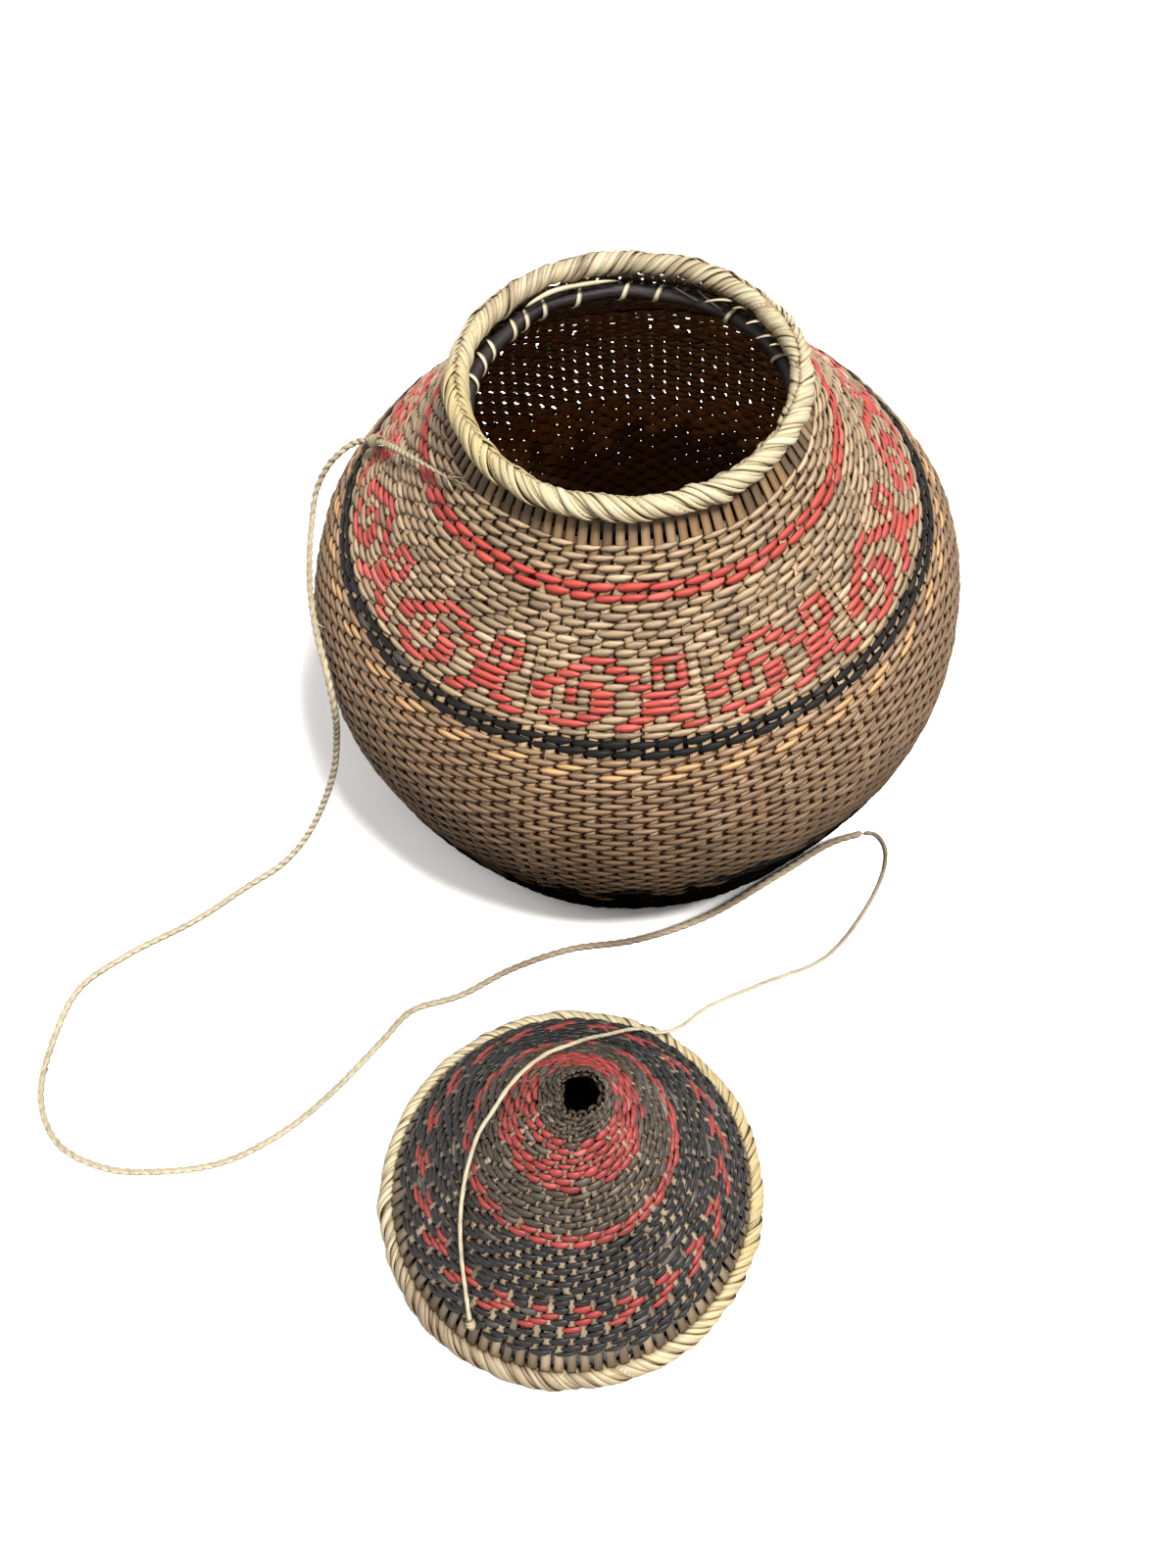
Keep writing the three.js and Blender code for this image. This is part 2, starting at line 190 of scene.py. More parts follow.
# Rows that run part of the way round: pitches away from the last whole row, where they start and end, and
# their first stake.
NECK_ROWS = ((0.92, 34.0, 172.0, 0), (1.84, 30.0, 165.0, 1), (2.76, 32.0, 160.0, 0))
NECK_TONE = 0.6
MARGIN_ROWS = ((-0.95, -178.0, 178.0, 1), (-1.9, -38.0, 62.0, 0))
MARGIN_TONE = 0.45
# How far the lid's floats sit past their stakes, as a share of their length.
LID_SHIFT = 0.25
# Stakes: where they start along the profile, how far they run past the top, their width against the widest,
# and the points along each.
WALL_STRIPS = Strip(0.3, 1.5, 1.0, 104)
LID_STRIPS = Strip(-2.0, 0.7, 1.2, 60)
# Half a stake's thickness, the widest it is against the room it has, and how far it runs past its rows.
STAKE_HALF_THICKNESS = 0.55
STAKE_CROWDING = 0.69
STAKE_OVERRUN = 1.2
# Height of a stake's middle over the wall's, and how that, its width and its tone vary.
STAKE_LIFT = 0.3
STAKE_LIFT_SPREAD = 0.1
STAKE_WIDTH_SPREAD = 0.06
STAKE_TONE_SPREAD = 0.2
# Shares of the stakes: golden ones come up to the first and grey ones from the second.
GOLDEN_STAKES_TO = 0.25
GREY_STAKES_FROM = 0.66
# Room left where a stake is missing: rows from its end, and share of a whole stake's room.
STAKE_ROOM = ((1, 0.6), (2, 0.35), (3, 0.12))
GOLDEN_RATIO = 0.618034
# Black figures at the foot: how many, how high their tops stand and how far they fall.
HEEL_FIGURES = 32
HEEL_TOP = 68.0
HEEL_FALL = 11.0
# Where they stand higher, and by how much, and the brown line that crosses them.
HEEL_RAISED_AT = -77.35
HEEL_RAISED_SPREAD = 40.1
HEEL_RAISED = 15.0
HEEL_LINE = (4.0, 7.4, 0.25)
# Where the weave is loose enough to see through: its heading and spread, and how loose at each height.
LOOSE_HEADING = 130.0
LOOSE_SPREAD = 73.0
LOOSE_HEIGHTS = (78.0, 90.0, 101.0, 124.0, 129.0, 136.0, 140.0, 154.0, 160.0)
LOOSE_SHARES = (0.0, 0.5, 1.0, 1.0, 0.15, 0.15, 0.5, 0.5, 0.0)

# Where a float's outline changes, as shares of its length from its blunt end to its tip.
FLOAT_PLACES = np.array([0.0, 0.06, 0.2, 0.42, 0.66, 0.86, 0.96, 1.0])
FLOAT_HEIGHTS = np.array([0.27, 0.41, 0.47, 0.43, 0.28, 0.15])
FLOAT_RISES = np.array([-0.24, -0.17, -0.06, 0.0, 0.03, 0.11, 0.19, 0.24])
FLOAT_LIFTS = np.array([-0.4, 0.3, 0.95, 1.2, 1.15, 0.75, 0.2, -0.4])
FLOAT_HALF_THICKNESS = np.array([0.5, 0.72, 0.82, 0.8, 0.62, 0.42])
INNER_PLACES = np.array([0.0, 0.1, 0.35, 0.68, 0.92, 1.0])
INNER_HEIGHTS = np.array([0.26, 0.40, 0.38, 0.2])
INNER_LIFTS = np.array([0.1, 0.6, 1.0, 0.95, 0.5, 0.1])
INNER_HALF_THICKNESS = np.array([0.4, 0.55, 0.55, 0.4])
# How much floats vary in length, place, slant, row, lift, height, thickness and looseness, as shares.
UNEVEN = Uneven(0.03, 0.015, 0.22, 0.05, 0.12, 0.07, 0.08, 0.25)
# Inner floats: their slant, how much of their rows they fill where the weave is closed and where it is open,
# their tone and dye against the outer ones, and the painted shade that they all get from the ramp across a
# strand.
INNER_SLANT = 0.4
INNER_CLOSED_FILL = 2.1
INNER_OPEN_FILL = 1.28
INNER_TONE = 0.7
INNER_DYE = 0.6
INNER_EDGE = -0.4

# The two-ply cord from its tail on the shoulder to its end on the floor, in metres.
CORD_ROUTE = (
    (-0.0746, -0.0314, 0.2234), (-0.093, -0.002, 0.208), (-0.112, 0.0344, 0.1812), (-0.121, 0.041, 0.175),
    (-0.1305, 0.040, 0.169), (-0.138, 0.038, 0.161), (-0.1435, 0.034, 0.152), (-0.147, 0.024, 0.143),
    (-0.1486, 0.008, 0.139), (-0.1479, -0.015, 0.1375), (-0.1452, -0.0346, 0.135),
    (-0.1422, -0.050, 0.1275), (-0.1415, -0.0597, 0.111), (-0.1455, -0.059, 0.084), (-0.151, -0.062, 0.062),
    (-0.166, -0.068, 0.029), (-0.177, -0.073, 0.0145), (-0.189, -0.078, 0.0055), (-0.204, -0.085, 0.002),
    (-0.230, -0.102, 0.002), (-0.263, -0.118, 0.002), (-0.285, -0.134, 0.002), (-0.295, -0.160, 0.002),
    (-0.298, -0.188, 0.002), (-0.288, -0.211, 0.002), (-0.265, -0.225, 0.002), (-0.239, -0.229, 0.002),
    (-0.210, -0.227, 0.002), (-0.183, -0.215, 0.002), (-0.161, -0.198, 0.002), (-0.137, -0.174, 0.002),
    (-0.124, -0.161, 0.002), (-0.100, -0.155, 0.002), (-0.076, -0.144, 0.002), (-0.047, -0.136, 0.002),
    (-0.014, -0.134, 0.002), (0.021, -0.125, 0.002), (0.062, -0.104, 0.002), (0.088, -0.090, 0.002),
    (0.104, -0.086, 0.002),
)
# The thin single ply from the cord's end over the lid to the hole in its margin, in metres.
LEAD_ROUTE = (
    (0.1048, -0.0859, 0.002), (0.1105, -0.0874, 0.0017), (0.1138, -0.095, 0.0013), (0.111, -0.108, 0.0013),
    (0.098, -0.129, 0.0013), (0.075, -0.152, 0.0013), (0.045, -0.162, 0.0013), (0.017, -0.172, 0.0016),
    (0.006, -0.180, 0.004), (0.0005, -0.1845, 0.0082), (-0.005, -0.187, 0.0118), (-0.010, -0.188, 0.014),
    (-0.0142, -0.1882, 0.019), (-0.0183, -0.1914, 0.0283), (-0.023, -0.195, 0.0365),
    (-0.0317, -0.2046, 0.056), (-0.040, -0.2131, 0.0738), (-0.048, -0.222, 0.0897),
    (-0.056, -0.2274, 0.0968), (-0.065, -0.2345, 0.1004), (-0.0734, -0.2415, 0.0976),
    (-0.080, -0.248, 0.0918), (-0.0864, -0.2532, 0.0839), (-0.0912, -0.2605, 0.076),
    (-0.0952, -0.2695, 0.0676), (-0.0983, -0.281, 0.0564), (-0.0994, -0.2927, 0.045),
    (-0.0993, -0.3007, 0.0373), (-0.099, -0.3092, 0.0304), (-0.0984, -0.316, 0.0244),
)
CORD_DIAMETER = 0.0034
LEAD_DIAMETER = 0.002
ROUTE_STEP = 0.0012
# A cord's section and lay: its two lobes' radius and half the distance between them as shares of the
# diameter, the length of a turn, the points round it, how long each end tapers, and how aged it is at shares
# of its run.
CORD_TWIST = Twist(0.36, 0.15, 9.5, 14, 60.0, 0.8, (0.0, 0.15, 0.3, 0.7, 0.84), (0.25, 0.4, 0.1, 0.1, 0.85))
LEAD_TWIST = Twist(0.42, 0.08, 16.0, 10, 0.6, 1.0, (0.08, 0.3), (0.85, 0.1))
# Distance in metres from the cord's tail to its knot.
KNOT_ALONG = 0.086
SHOULDER_KNOT = Knot(9.0, 2.1, 0.95, 4)
LID_KNOT = Knot(5.0, 1.3, 0.65, 3)
KNOT_POINTS = 14
TAIL_FRAYS = 9
# Tones of the two plies against the cord's.
PLY_TONES = 0.15, -0.1
# Where single fibres stand off the cord, as shares of its run.
STRAY_FIBRES = (0.05, 0.068, 0.075, 0.09, 0.2, 0.34, 0.52, 0.66)
# How long frays and single fibres are at least, and how much longer they may be.
FRAY_REACH = 7, 6
STRAY_REACH = 5, 4

# The borders' straw: seed, strips for each stake, their width against their spacing, how far they slant,
# where they meet on top in radians and how that turns round the ring, how aged they are, and where they are
# grey and golden.
MOUTH_STRAW = Border(41, 1.7, 0.53, 19.0, 1.6, 0.9, 0.45, (95, 60), (-160, 32))
LID_STRAW = Border(71, 1.85, 0.5, 17.0, 2.2, 0.0, 0.85, (-123, 50), (0, 55))
# How much the straw's strips vary in place, slant, lift, width and tone.
STRAW_PLACE_SPREAD = 0.22
STRAW_SLANT_SPREAD = 0.08
STRAW_LIFT_SPREAD = 0.3
STRAW_WIDTH_SPREAD = 0.2
STRAW_TONE_SPREAD = 0.17
# Where the strips end round the border's section, in radians, and how far some reach on and stand out.
STRAW_OUTER_END = -0.85
STRAW_INNER_END = 4.4
SCALLOP_REACH = 0.5
SCALLOP_LIFT = 0.45
# How far under the border's surface its core is.
CORE_DEPTH = 0.95

LASHINGS = 12
EXTRA_LASHINGS = (156, 147, 128, 119.5, 87)
# How far a lashing is bent each way round the rod, in radians, and how far it slants.
LASHING_BEND = 2.3
LASHING_SLANT = 3.2
# How far over the hoop a lashing lies.
LASHING_LIFT = 0.45
# Splinters of the hoop: where they start, how long they are and how far they rise.
SPLINTERS = ((60, 14, 4), (50, 16, 5))
# Frayed strips that stick out over the hoop: heading and radius where they start and where they end.
LOOSE_ENDS = (
    (42.5, 66.5, 52.5, 58.0), (36.0, 67.0, 41.0, 62.0), (27.0, 67.5, 31.0, 59.5), (18.5, 67.0, 21.5, 58.0),
    (12.5, 67.5, 15.0, 61.0),
)
LOOSE_END_HEIGHT = 236.6
# Tones of the splinters and frayed strips, which are also how far each is bare of the hoop's black.
LOOSE_TONES = np.array([0.1, 0.25, 0.85, 0.7, 1.0, 0.8, 0.95])

# The photograph's camera: place in metres, pitch and roll, and focal length against the picture's height.
CAMERA_PLACE = (-0.0306, -0.4809, 0.7101)
CAMERA_PITCH = math.radians(58.28)
CAMERA_ROLL = math.radians(-5.05)
CAMERA_FOCUS = 1653.0 / 1600.0
SENSOR_WIDTH = 36.0
FLOOR_RADIUS = 6
FLOOR_CORNERS = 48
FLOOR_TINTS = (3.1, 3.1, 3.1), (3.2, 3.2, 3.2)
FLOOR_LIGHT = (0.06, 0.055, 0.05)
FLOOR_MIRRORED = (0.9, 0.9, 0.9)
# Painted shade on the floor under things: reach in metres, the openness where it is dark and clear, and rays.
PAINTED_FLOOR_SHADE = ((0.035, 0.2, 0.4, 16), (0.09, 0.1, 0.34, 8), (0.17, 0.05, 0.2, 8))
SKY_TINT = (1.0, 0.98, 0.95, 1)
WHITE = (1.0, 1.0, 1.0, 1)
# Lamps: place in metres, spread, and strength against the main lamp's.
LAMPS = {"key_lamp": ((0.46, -0.38, 1.35), 15.0, 1.0), "fill_lamp": ((-0.5, -0.8, 1.3), 60.0, 0.1)}
LAMP_TINT = (1.0, 0.975, 0.94)

# How a strand's streaks and patches are stretched along it.
FINE_GRAIN = (0.16, 2.6, 2.6)
BROAD_GRAIN = (0.11, 0.35, 0.35)
# A strand's tones from dark to pale: place, change in brightness and share of the pale tint.
TONES = ((0.0, -0.62, 0.0), (0.45, -0.12, 0.0), (0.75, 0.18, 0.0), (1.0, 0.6, 0.2))
PALE_TINT = (0.75, 0.68, 0.6)
# How far patches change the tone, how deep golden and dyed tones go against plain ones, and how far the
# roughness goes down and up along the streaks.
PATCH_DEPTH = 0.55
GOLDEN_DEPTH = 0.4
DYED_DEPTH = 0.75
ROUGHNESS_RANGE = 0.08, 0.15
# Painted shade and highlight of a strand across its width, and painted shade at its ends and where little
# light reaches it.
WIDTH_SHADE = (
    (0.0, (0.24, 0.17, 0.11)), (0.3, (0.7, 0.66, 0.61)), (0.55, (1.08, 1.08, 1.08)),
    (0.78, (1.3, 1.3, 1.28)), (1.0, (0.72, 0.69, 0.66)),
)
END_SHADE = (0.34, (1, 1, 1)), (0.5, (0.4, 0.34, 0.28))
NOOK_SHADE = (0.3, (0.2, 0.14, 0.09)), (0.62, (0.78, 0.75, 0.72)), (0.9, (1, 1, 1))
# How near things have to be for painted shade in a nook, and how high a streak stands, in metres.
NOOK_REACH = 0.0028
STREAK_HEIGHT = 0.00025
# Painted light on the inner floats: a pale tint that stands in for the light through the mouth.
INSIDE_PAINTED_LIGHT = (2.5, 2.0, 1.35)
# Heights in metres between which the wall's painted shade near the floor gives way to its full colour, and
# its shine grows to full.
LOW_SHADE_HEIGHTS = {"From Min": 0.02, "From Max": 0.15}
SHINE_HEIGHTS = {"From Min": 0.07, "From Max": 0.15}


def colour(name, what, rgb):
    """A colour property whose default is given as it shows in the photograph, from 0 to 255."""
    return FloatVectorProperty(
        name=name, description=what, subtype="COLOR", size=3, min=0.0, max=1.0,
        default=tuple(((c / 255.0 + 0.055) / 1.055) ** 2.4 for c in rgb),
    )


class WeaveSizes(bpy.types.PropertyGroup):
    row_pitch: FloatProperty(
        name="Row pitch", description="Distance from one row of weft to the next",
        default=0.00345, min=0.002, max=0.01, unit="LENGTH", precision=5)
    wall_stakes: IntProperty(
        name="Wall stakes", description="Stakes round the belly, ten figures of fourteen",
        default=140, min=70, max=280)
    neck_stakes: IntProperty(
        name="Neck stakes", description="Stakes left bare under the mouth border",
        default=94, min=40, max=140)
    lid_stakes: IntProperty(
        name="Lid stakes", description="Stakes at the lid's margin", default=88, min=40, max=140)
    stake_width: FloatProperty(
        name="Stake width", description="Widest a stake is cut",
        default=0.0035, min=0.001, max=0.01, unit="LENGTH", precision=5)
    unevenness: FloatProperty(
        name="Unevenness", description="How far hand-made rows wander", default=0.5, min=0.0, max=2.0)


class FibreColours(bpy.types.PropertyGroup):
    brown: colour("Grey-brown weft", "Undyed weft of the lower wall", (164, 132, 100))
    beige: colour("Beige weft", "Paler weft of the figured and plain bands", (196, 169, 136))
    golden: colour("Golden weft", "The pairs of orange-tan floats under the black rows", (224, 178, 126))
    red: colour("Coral red weft", "Dyed weft of the figures and rings", (218, 90, 80))
    black: colour("Black weft", "Dyed weft of the black rows", (32, 30, 30))
    grey: colour("Grey weft", "Weft near the lid's crown", (100, 88, 77))
    stake: colour("Stakes", "Split stakes that show between the rows", (238, 208, 170))
    lid_stake: colour("Lid stakes", "Split stakes of the lid, greyer than the basket's", (204, 184, 156))
    aged: colour("Aged straw", "Greyed stretches of the borders' wrapping", (172, 152, 126))
    straw: colour("Straw", "Wrapping of the borders", (244, 230, 192))
    raffia: colour("Raffia", "Cord and lashings", (238, 226, 194))
    hoop: colour("Hoop", "Blackened rod inside the mouth", (60, 53, 52))


class StageSettings(bpy.types.PropertyGroup):
    key_strength: FloatProperty(
        name="Key lamp", description="Strength of the main lamp", default=3.6, min=0.0, max=20.0)
    sky_strength: FloatProperty(
        name="Sky strength", description="Light from all round", default=0.16, min=0.0, max=3.0)


# Curves and strands

def catmull(points, per_span):
    """Uniform Catmull-Rom through the points, with its ends repeated."""
    p = np.array(points, float)
    ext = np.vstack([p[:1], p, p[-1:]])
    w = np.linspace(0, 1, per_span, endpoint=False)[:, None]
    out = []
    for p0, p1, p2, p3 in zip(ext, ext[1:], ext[2:], ext[3:]):
        v0, v1 = (p2 - p0) / 2, (p3 - p1) / 2
        cubic = (2 * p1 - 2 * p2 + v0 + v1) * w ** 3
        out.append(cubic + (-3 * p1 + 3 * p2 - 2 * v0 - v1) * w ** 2 + v0 * w + p1)
    return np.vstack(out + [p[-1:]])


def blend_between(t, start, end, a, b):
    """Point a at the start and b at the end, in proportion in between."""
    return (end - t) / (end - start) * a + (t - start) / (end - start) * b


def smooth_route(points, step):
    """Centripetal Catmull-Rom through the route's points, resampled at an even step, and its length."""
    p = np.array(points, float)
    ext = np.vstack([2 * p[0] - p[1], p, 2 * p[-1] - p[-2]])
    fine = []
    for a, b, c, d in zip(ext, ext[1:], ext[2:], ext[3:]):
        t1 = np.linalg.norm(b - a) ** 0.5
        t2 = t1 + np.linalg.norm(c - b) ** 0.5
        t3 = t2 + np.linalg.norm(d - c) ** 0.5
        t = np.linspace(t1, t2, 24, endpoint=False)[:, None]
        a1 = blend_between(t, 0.0, t1, a, b)
        a2 = blend_between(t, t1, t2, b, c)
        a3 = blend_between(t, t2, t3, c, d)
        b1 = blend_between(t, 0.0, t2, a1, a2)
        b2 = blend_between(t, t1, t3, a2, a3)
        fine.append(blend_between(t, t1, t2, b1, b2))
    fine = np.vstack(fine + [p[-1:]])
    run = np.concatenate([[0], np.cumsum(np.linalg.norm(np.diff(fine, axis=0), axis=1))])
    at = np.linspace(0, run[-1], max(2, int(round(run[-1] / step)) + 1))
    return np.stack([np.interp(at, run, fine[:, k]) for k in range(3)], -1), run[-1]


def unit(v):
    return v / np.maximum(np.linalg.norm(v, axis=-1, keepdims=True), 1e-12)


def between(pair, share):
    """The value at a share of the way from the pair's first to its second."""
    return pair[0] + (pair[1] - pair[0]) * share


def away_from(angle, heading):
    """Angle from a heading, the short way round."""
    return (angle - math.radians(heading) + math.pi) % TURN - math.pi


def near_heading(angle, heading, spread):
    """One at a heading, falling to nothing past its spread."""
    return np.exp(-(away_from(angle, heading) / math.radians(spread)) ** 4)


def round_axis(centre, radius, angle, z):
    """Points round an upright axis."""
    x = centre[0] + radius * np.cos(angle)
    return np.stack(np.broadcast_arrays(x, centre[1] + radius * np.sin(angle), z), -1)


def waves(table, angle, s=0.0):
    """The sum of a table's waves at an angle and a distance along the wall."""
    return sum(size * np.sin(count * angle + change * s + start) for size, count, change, start in table)


def dented(dent, angle, z):
    """One in the middle of a dent, falling to nothing round it."""
    round_ = away_from(angle, dent.heading) / math.radians(dent.spread)
    return np.exp(-round_ ** 2 - ((z - dent.height) / dent.tall) ** 2)


class Woven:
    """The middle surface of a woven wall, by angle round its axis and distance along its profile."""

    def __init__(self, profile, half, centre, lean, unevenness, dents, sags):
        self.r, self.z = profile.T
        self.s = np.concatenate([[0], np.cumsum(np.hypot(np.diff(self.r), np.diff(self.z)))])
        dr, dz = np.gradient(self.r, self.s), np.gradient(self.z, self.s)
        length = np.hypot(dr, dz)
        self.nr, self.nz = dz / length, -dr / length
        self.half, self.centre, self.lean = half, centre, lean
        self.unevenness, self.dents = unevenness, dents
        self.sags = [(self.along(height), spread, fall) for height, spread, fall in sags]

    def along(self, height):
        """Distance along the profile where its outer face is at a height."""
        outer = self.z + self.nz * self.half
        first = int(np.argmax(self.z > self.z[0] + 1.0)) - 1
        return float(np.interp(height, outer[first:], self.s[first:]))

    def height(self, s):
        return np.interp(s, self.s, self.z)

    def radius(self, s):
        return np.interp(s, self.s, self.r)

    def at(self, angle, s, lift):
        """Points and the outward directions there."""
        angle, s = np.broadcast_arrays(angle, s)
        s = s - sum(fall * np.exp(-((s - place) / spread) ** 2) for place, spread, fall in self.sags)
        s = s + self.unevenness * waves(ROW_WAVES, angle, s)
        past = np.maximum(s - self.s[-1], 0)
        r = self.radius(s) - past * self.nz[-1]
        z = self.height(s) + past * self.nr[-1]
        nr, nz = np.interp(s, self.s, self.nr), np.interp(s, self.s, self.nz)
        lift = lift + self.unevenness * waves(WALL_WAVES, angle, s) * np.clip(s / 60.0, 0, 1)
        r, z = r + nr * lift, z + nz * lift
        for dent in self.dents:
            near = dented(dent, angle, z)
            r, z = r - dent.inward * near, z - dent.down * near
        centre = self.centre[0] + self.lean * z, self.centre[1]
        return round_axis(centre, r, angle, z), round_axis(AXIS, nr, angle, nz)


def skinned(starts, rings, ends):
    """Closed tubes through rings of points, with a tip at each end."""
    n, k, ring = rings.shape[:3]
    per = k * ring + 2
    last = per - 1
    i = np.arange(ring)
    a, b = (1 + np.arange(k - 1)[:, None] * ring + side for side in (i, (i + 1) % ring))
    quads = np.stack([a, b, b + ring, a + ring], -1).reshape(-1, 4)
    tris = np.vstack([
        np.stack([0 * i, 1 + (i + 1) % ring, 1 + i], -1),
        np.stack([0 * i + last, last - ring + i, last - ring + (i + 1) % ring], -1),
    ])
    base = (np.arange(n) * per)[:, None, None]
    verts = np.concatenate([starts[:, None], rings.reshape(n, k * ring, 3), ends[:, None]], axis=1)
    return {
        "verts": verts.reshape(-1, 3), "quads": (quads + base).reshape(-1, 4),
        "tris": (tris + base).reshape(-1, 3), "count": n, "per": per,
    }


def tipped(values):
    """Values of every ring's points, with nothing for the two tips."""
    return np.pad(values.reshape(len(values), -1), ((0, 0), (1, 1))).ravel()


def strands(path, out, half_width, half_thick, ring):
    """Closed bodies along the paths, whose first and last points are their tips."""
    n, k = path.shape[0], path.shape[1] - 2
    heading = unit(np.gradient(path, axis=1))
    across = unit(np.cross(out, heading))
    out = unit(np.cross(heading, across))
    turn = TURN * (np.arange(ring) + 0.5) / ring
    c, s = np.cos(turn), np.sin(turn)
    if ring == 4:
        c, s = np.sign(c), np.sign(s)
    side = np.broadcast_to(half_width, (n, k))[:, :, None] * c
    face = np.broadcast_to(half_thick, (n, k))[:, :, None] * s
    rings = path[:, 1:-1, None] + across[:, 1:-1, None] * side[..., None]
    rings = rings + out[:, 1:-1, None] * face[..., None]
    bundle = skinned(path[:, 0], rings, path[:, -1])
    steps = np.linalg.norm(np.diff(path, axis=1), axis=2)
    run = np.concatenate([np.zeros((n, 1)), np.cumsum(steps, axis=1)], 1)
    long = np.concatenate([run[:, :1], np.repeat(run[:, 1:-1], ring, axis=1), run[:, -1:]], 1)
    number = np.repeat(np.arange(n), bundle["per"])
    bundle["fibre"] = np.stack([long.ravel() + number * 17.3, tipped(side) + number * 5.1, tipped(face)], -1)
    bundle["values"] = {"place": (long / run[:, -1:]).ravel(), "edge": tipped(np.tile(c, (n, k)))}
    return bundle


def joined(bundles):
    """Several bundles of strands as one."""
    out = {key: np.concatenate([bundle[key] for bundle in bundles]) for key in ("verts", "fibre")}
    starts = np.cumsum([0] + [len(bundle["verts"]) for bundle in bundles])
    for key in ("quads", "tris"):
        out[key] = np.concatenate([bundle[key] + start for bundle, start in zip(bundles, starts)])
    out["values"] = {
        key: np.concatenate([bundle["values"][key] for bundle in bundles]) for key in bundles[0]["values"]
    }
    return out


def marked(bundle, **per_strand):
    """Gives each strand's vertices its tone and dye."""
    for key, values in per_strand.items():
        bundle["values"][key] = np.repeat(np.broadcast_to(values, bundle["count"]), bundle["per"])
    return bundle


def piece(name, bundle, finish):
    """A mesh object in metres from a bundle in millimetres."""
    verts = bundle["verts"].copy()
    verts[:, 2] = np.maximum(verts[:, 2], LOWEST)
    quads, tris = bundle["quads"], bundle["tris"]
    corners = np.concatenate([quads.ravel(), tris.ravel()]).astype(np.int32)
    starts = np.concatenate([np.arange(len(quads)) * 4, quads.size + np.arange(len(tris)) * 3])
    mesh = bpy.data.meshes.new(name)
    mesh.vertices.add(len(verts))
    mesh.vertices.foreach_set("co", (verts * MM).astype(np.float32).ravel())
    mesh.loops.add(len(corners))
    mesh.loops.foreach_set("vertex_index", corners)
    mesh.polygons.add(len(starts))
    mesh.polygons.foreach_set("loop_start", starts.astype(np.int32))
    mesh.polygons.foreach_set("use_smooth", np.ones(len(starts), bool))
    for key, values in bundle["values"].items():
        mesh.attributes.new(key, "FLOAT", "POINT").data.foreach_set("value", values.astype(np.float32))
    fibre = mesh.attributes.new("fibre", "FLOAT_VECTOR", "POINT")
    fibre.data.foreach_set("vector", bundle["fibre"].astype(np.float32).ravel())
    mesh.update(calc_edges=True)
    mesh.validate()
    mesh.materials.append(finish)
    obj = bpy.data.objects.new(name, mesh)
    bpy.context.scene.collection.objects.link(obj)
    return obj


def declare(obj, body, slot, *nodes):
    """Attaches a piece to the body it rides on and hides the CAD nodes that it stands for; its slot is not
    used.
    """
    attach(obj, body)
    if nodes:
        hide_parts(*nodes)
    return obj


# Finishes

class Nodes:
    """Small helpers for one node tree."""

    def __init__(self, owner, output="ShaderNodeOutputMaterial"):
        owner.use_nodes = True
        self.tree = owner.node_tree
        self.tree.nodes.clear()
        self.output = self.tree.nodes.new(output)

    def feed(self, target, value):
        if isinstance(value, bpy.types.NodeSocket):
            self.tree.links.new(value, target)
        else:
            target.default_value = value

    def add(self, kind, inputs=None, **settings):
        node = self.tree.nodes.new(kind)
        for key, value in settings.items():
            setattr(node, key, value)
        for socket, value in (inputs or {}).items():
            self.feed(node.inputs[socket], value)
        return node

    def surface(self, shader):
        self.feed(self.output.inputs["Surface"], shader.outputs[0])

    def math(self, operation, a, b=0.0, clamp=False):
        return self.add("ShaderNodeMath", {0: a, 1: b}, operation=operation, use_clamp=clamp).outputs[0]

    def mix(self, share, a, b, blend="MIX"):
        node = self.add("ShaderNodeMix", data_type="RGBA", blend_type=blend)
        sockets = {socket.identifier: socket for socket in (*node.inputs, *node.outputs)}
        self.feed(sockets["Factor_Float"], share)
        for key, value in (("A_Color", a), ("B_Color", b)):
            self.feed(sockets[key], value if isinstance(value, bpy.types.NodeSocket) else (*value[:3], 1.0))
        return sockets["Result_Color"]

    def shade(self, base, tint):
        return self.mix(1.0, base, tint, "MULTIPLY")

    def attribute(self, name, output="Fac"):
        return self.add("ShaderNodeAttribute", attribute_name=name, attribute_type="GEOMETRY").outputs[output]

    def noise(self, **inputs):
        return self.add("ShaderNodeTexNoise", inputs).outputs[0]

    def stretched(self, vector, scale):
        return self.add("ShaderNodeMapping", {"Vector": vector, "Scale": scale}).outputs[0]

    def mapped(self, value, limits):
        return self.add("ShaderNodeMapRange", {"Value": value, **limits}).outputs[0]

    def openness(self, reach, samples):
        return self.add("ShaderNodeAmbientOcclusion", {"Distance": reach}, samples=samples).outputs["AO"]

    def ramp(self, value, stops):
        node = self.add("ShaderNodeValToRGB", {0: value})
        elements = node.color_ramp.elements
        while len(elements) < len(stops):
            elements.new(0.5)
        for element, (place, rgb) in zip(elements, stops):
            element.position = place
            element.color = (*rgb[:3], 1.0)
        return node.outputs[0]


def shaded(rgb, factor, towards=(0.5, 0.5, 0.5), share=0.0):
    """A colour moved a share of the way towards another, then made lighter or darker."""
    return [min(1.0, (c * (1 - share) + t * share) * factor) for c, t in zip(rgb, towards)]


def tones(nodes, tone, rgb, depth):
    """From a strand's dark tone to its pale one."""
    return nodes.ramp(tone, [
        (place, shaded(rgb, 1 + change * depth, PALE_TINT, share * depth)) for place, change, share in TONES
    ])


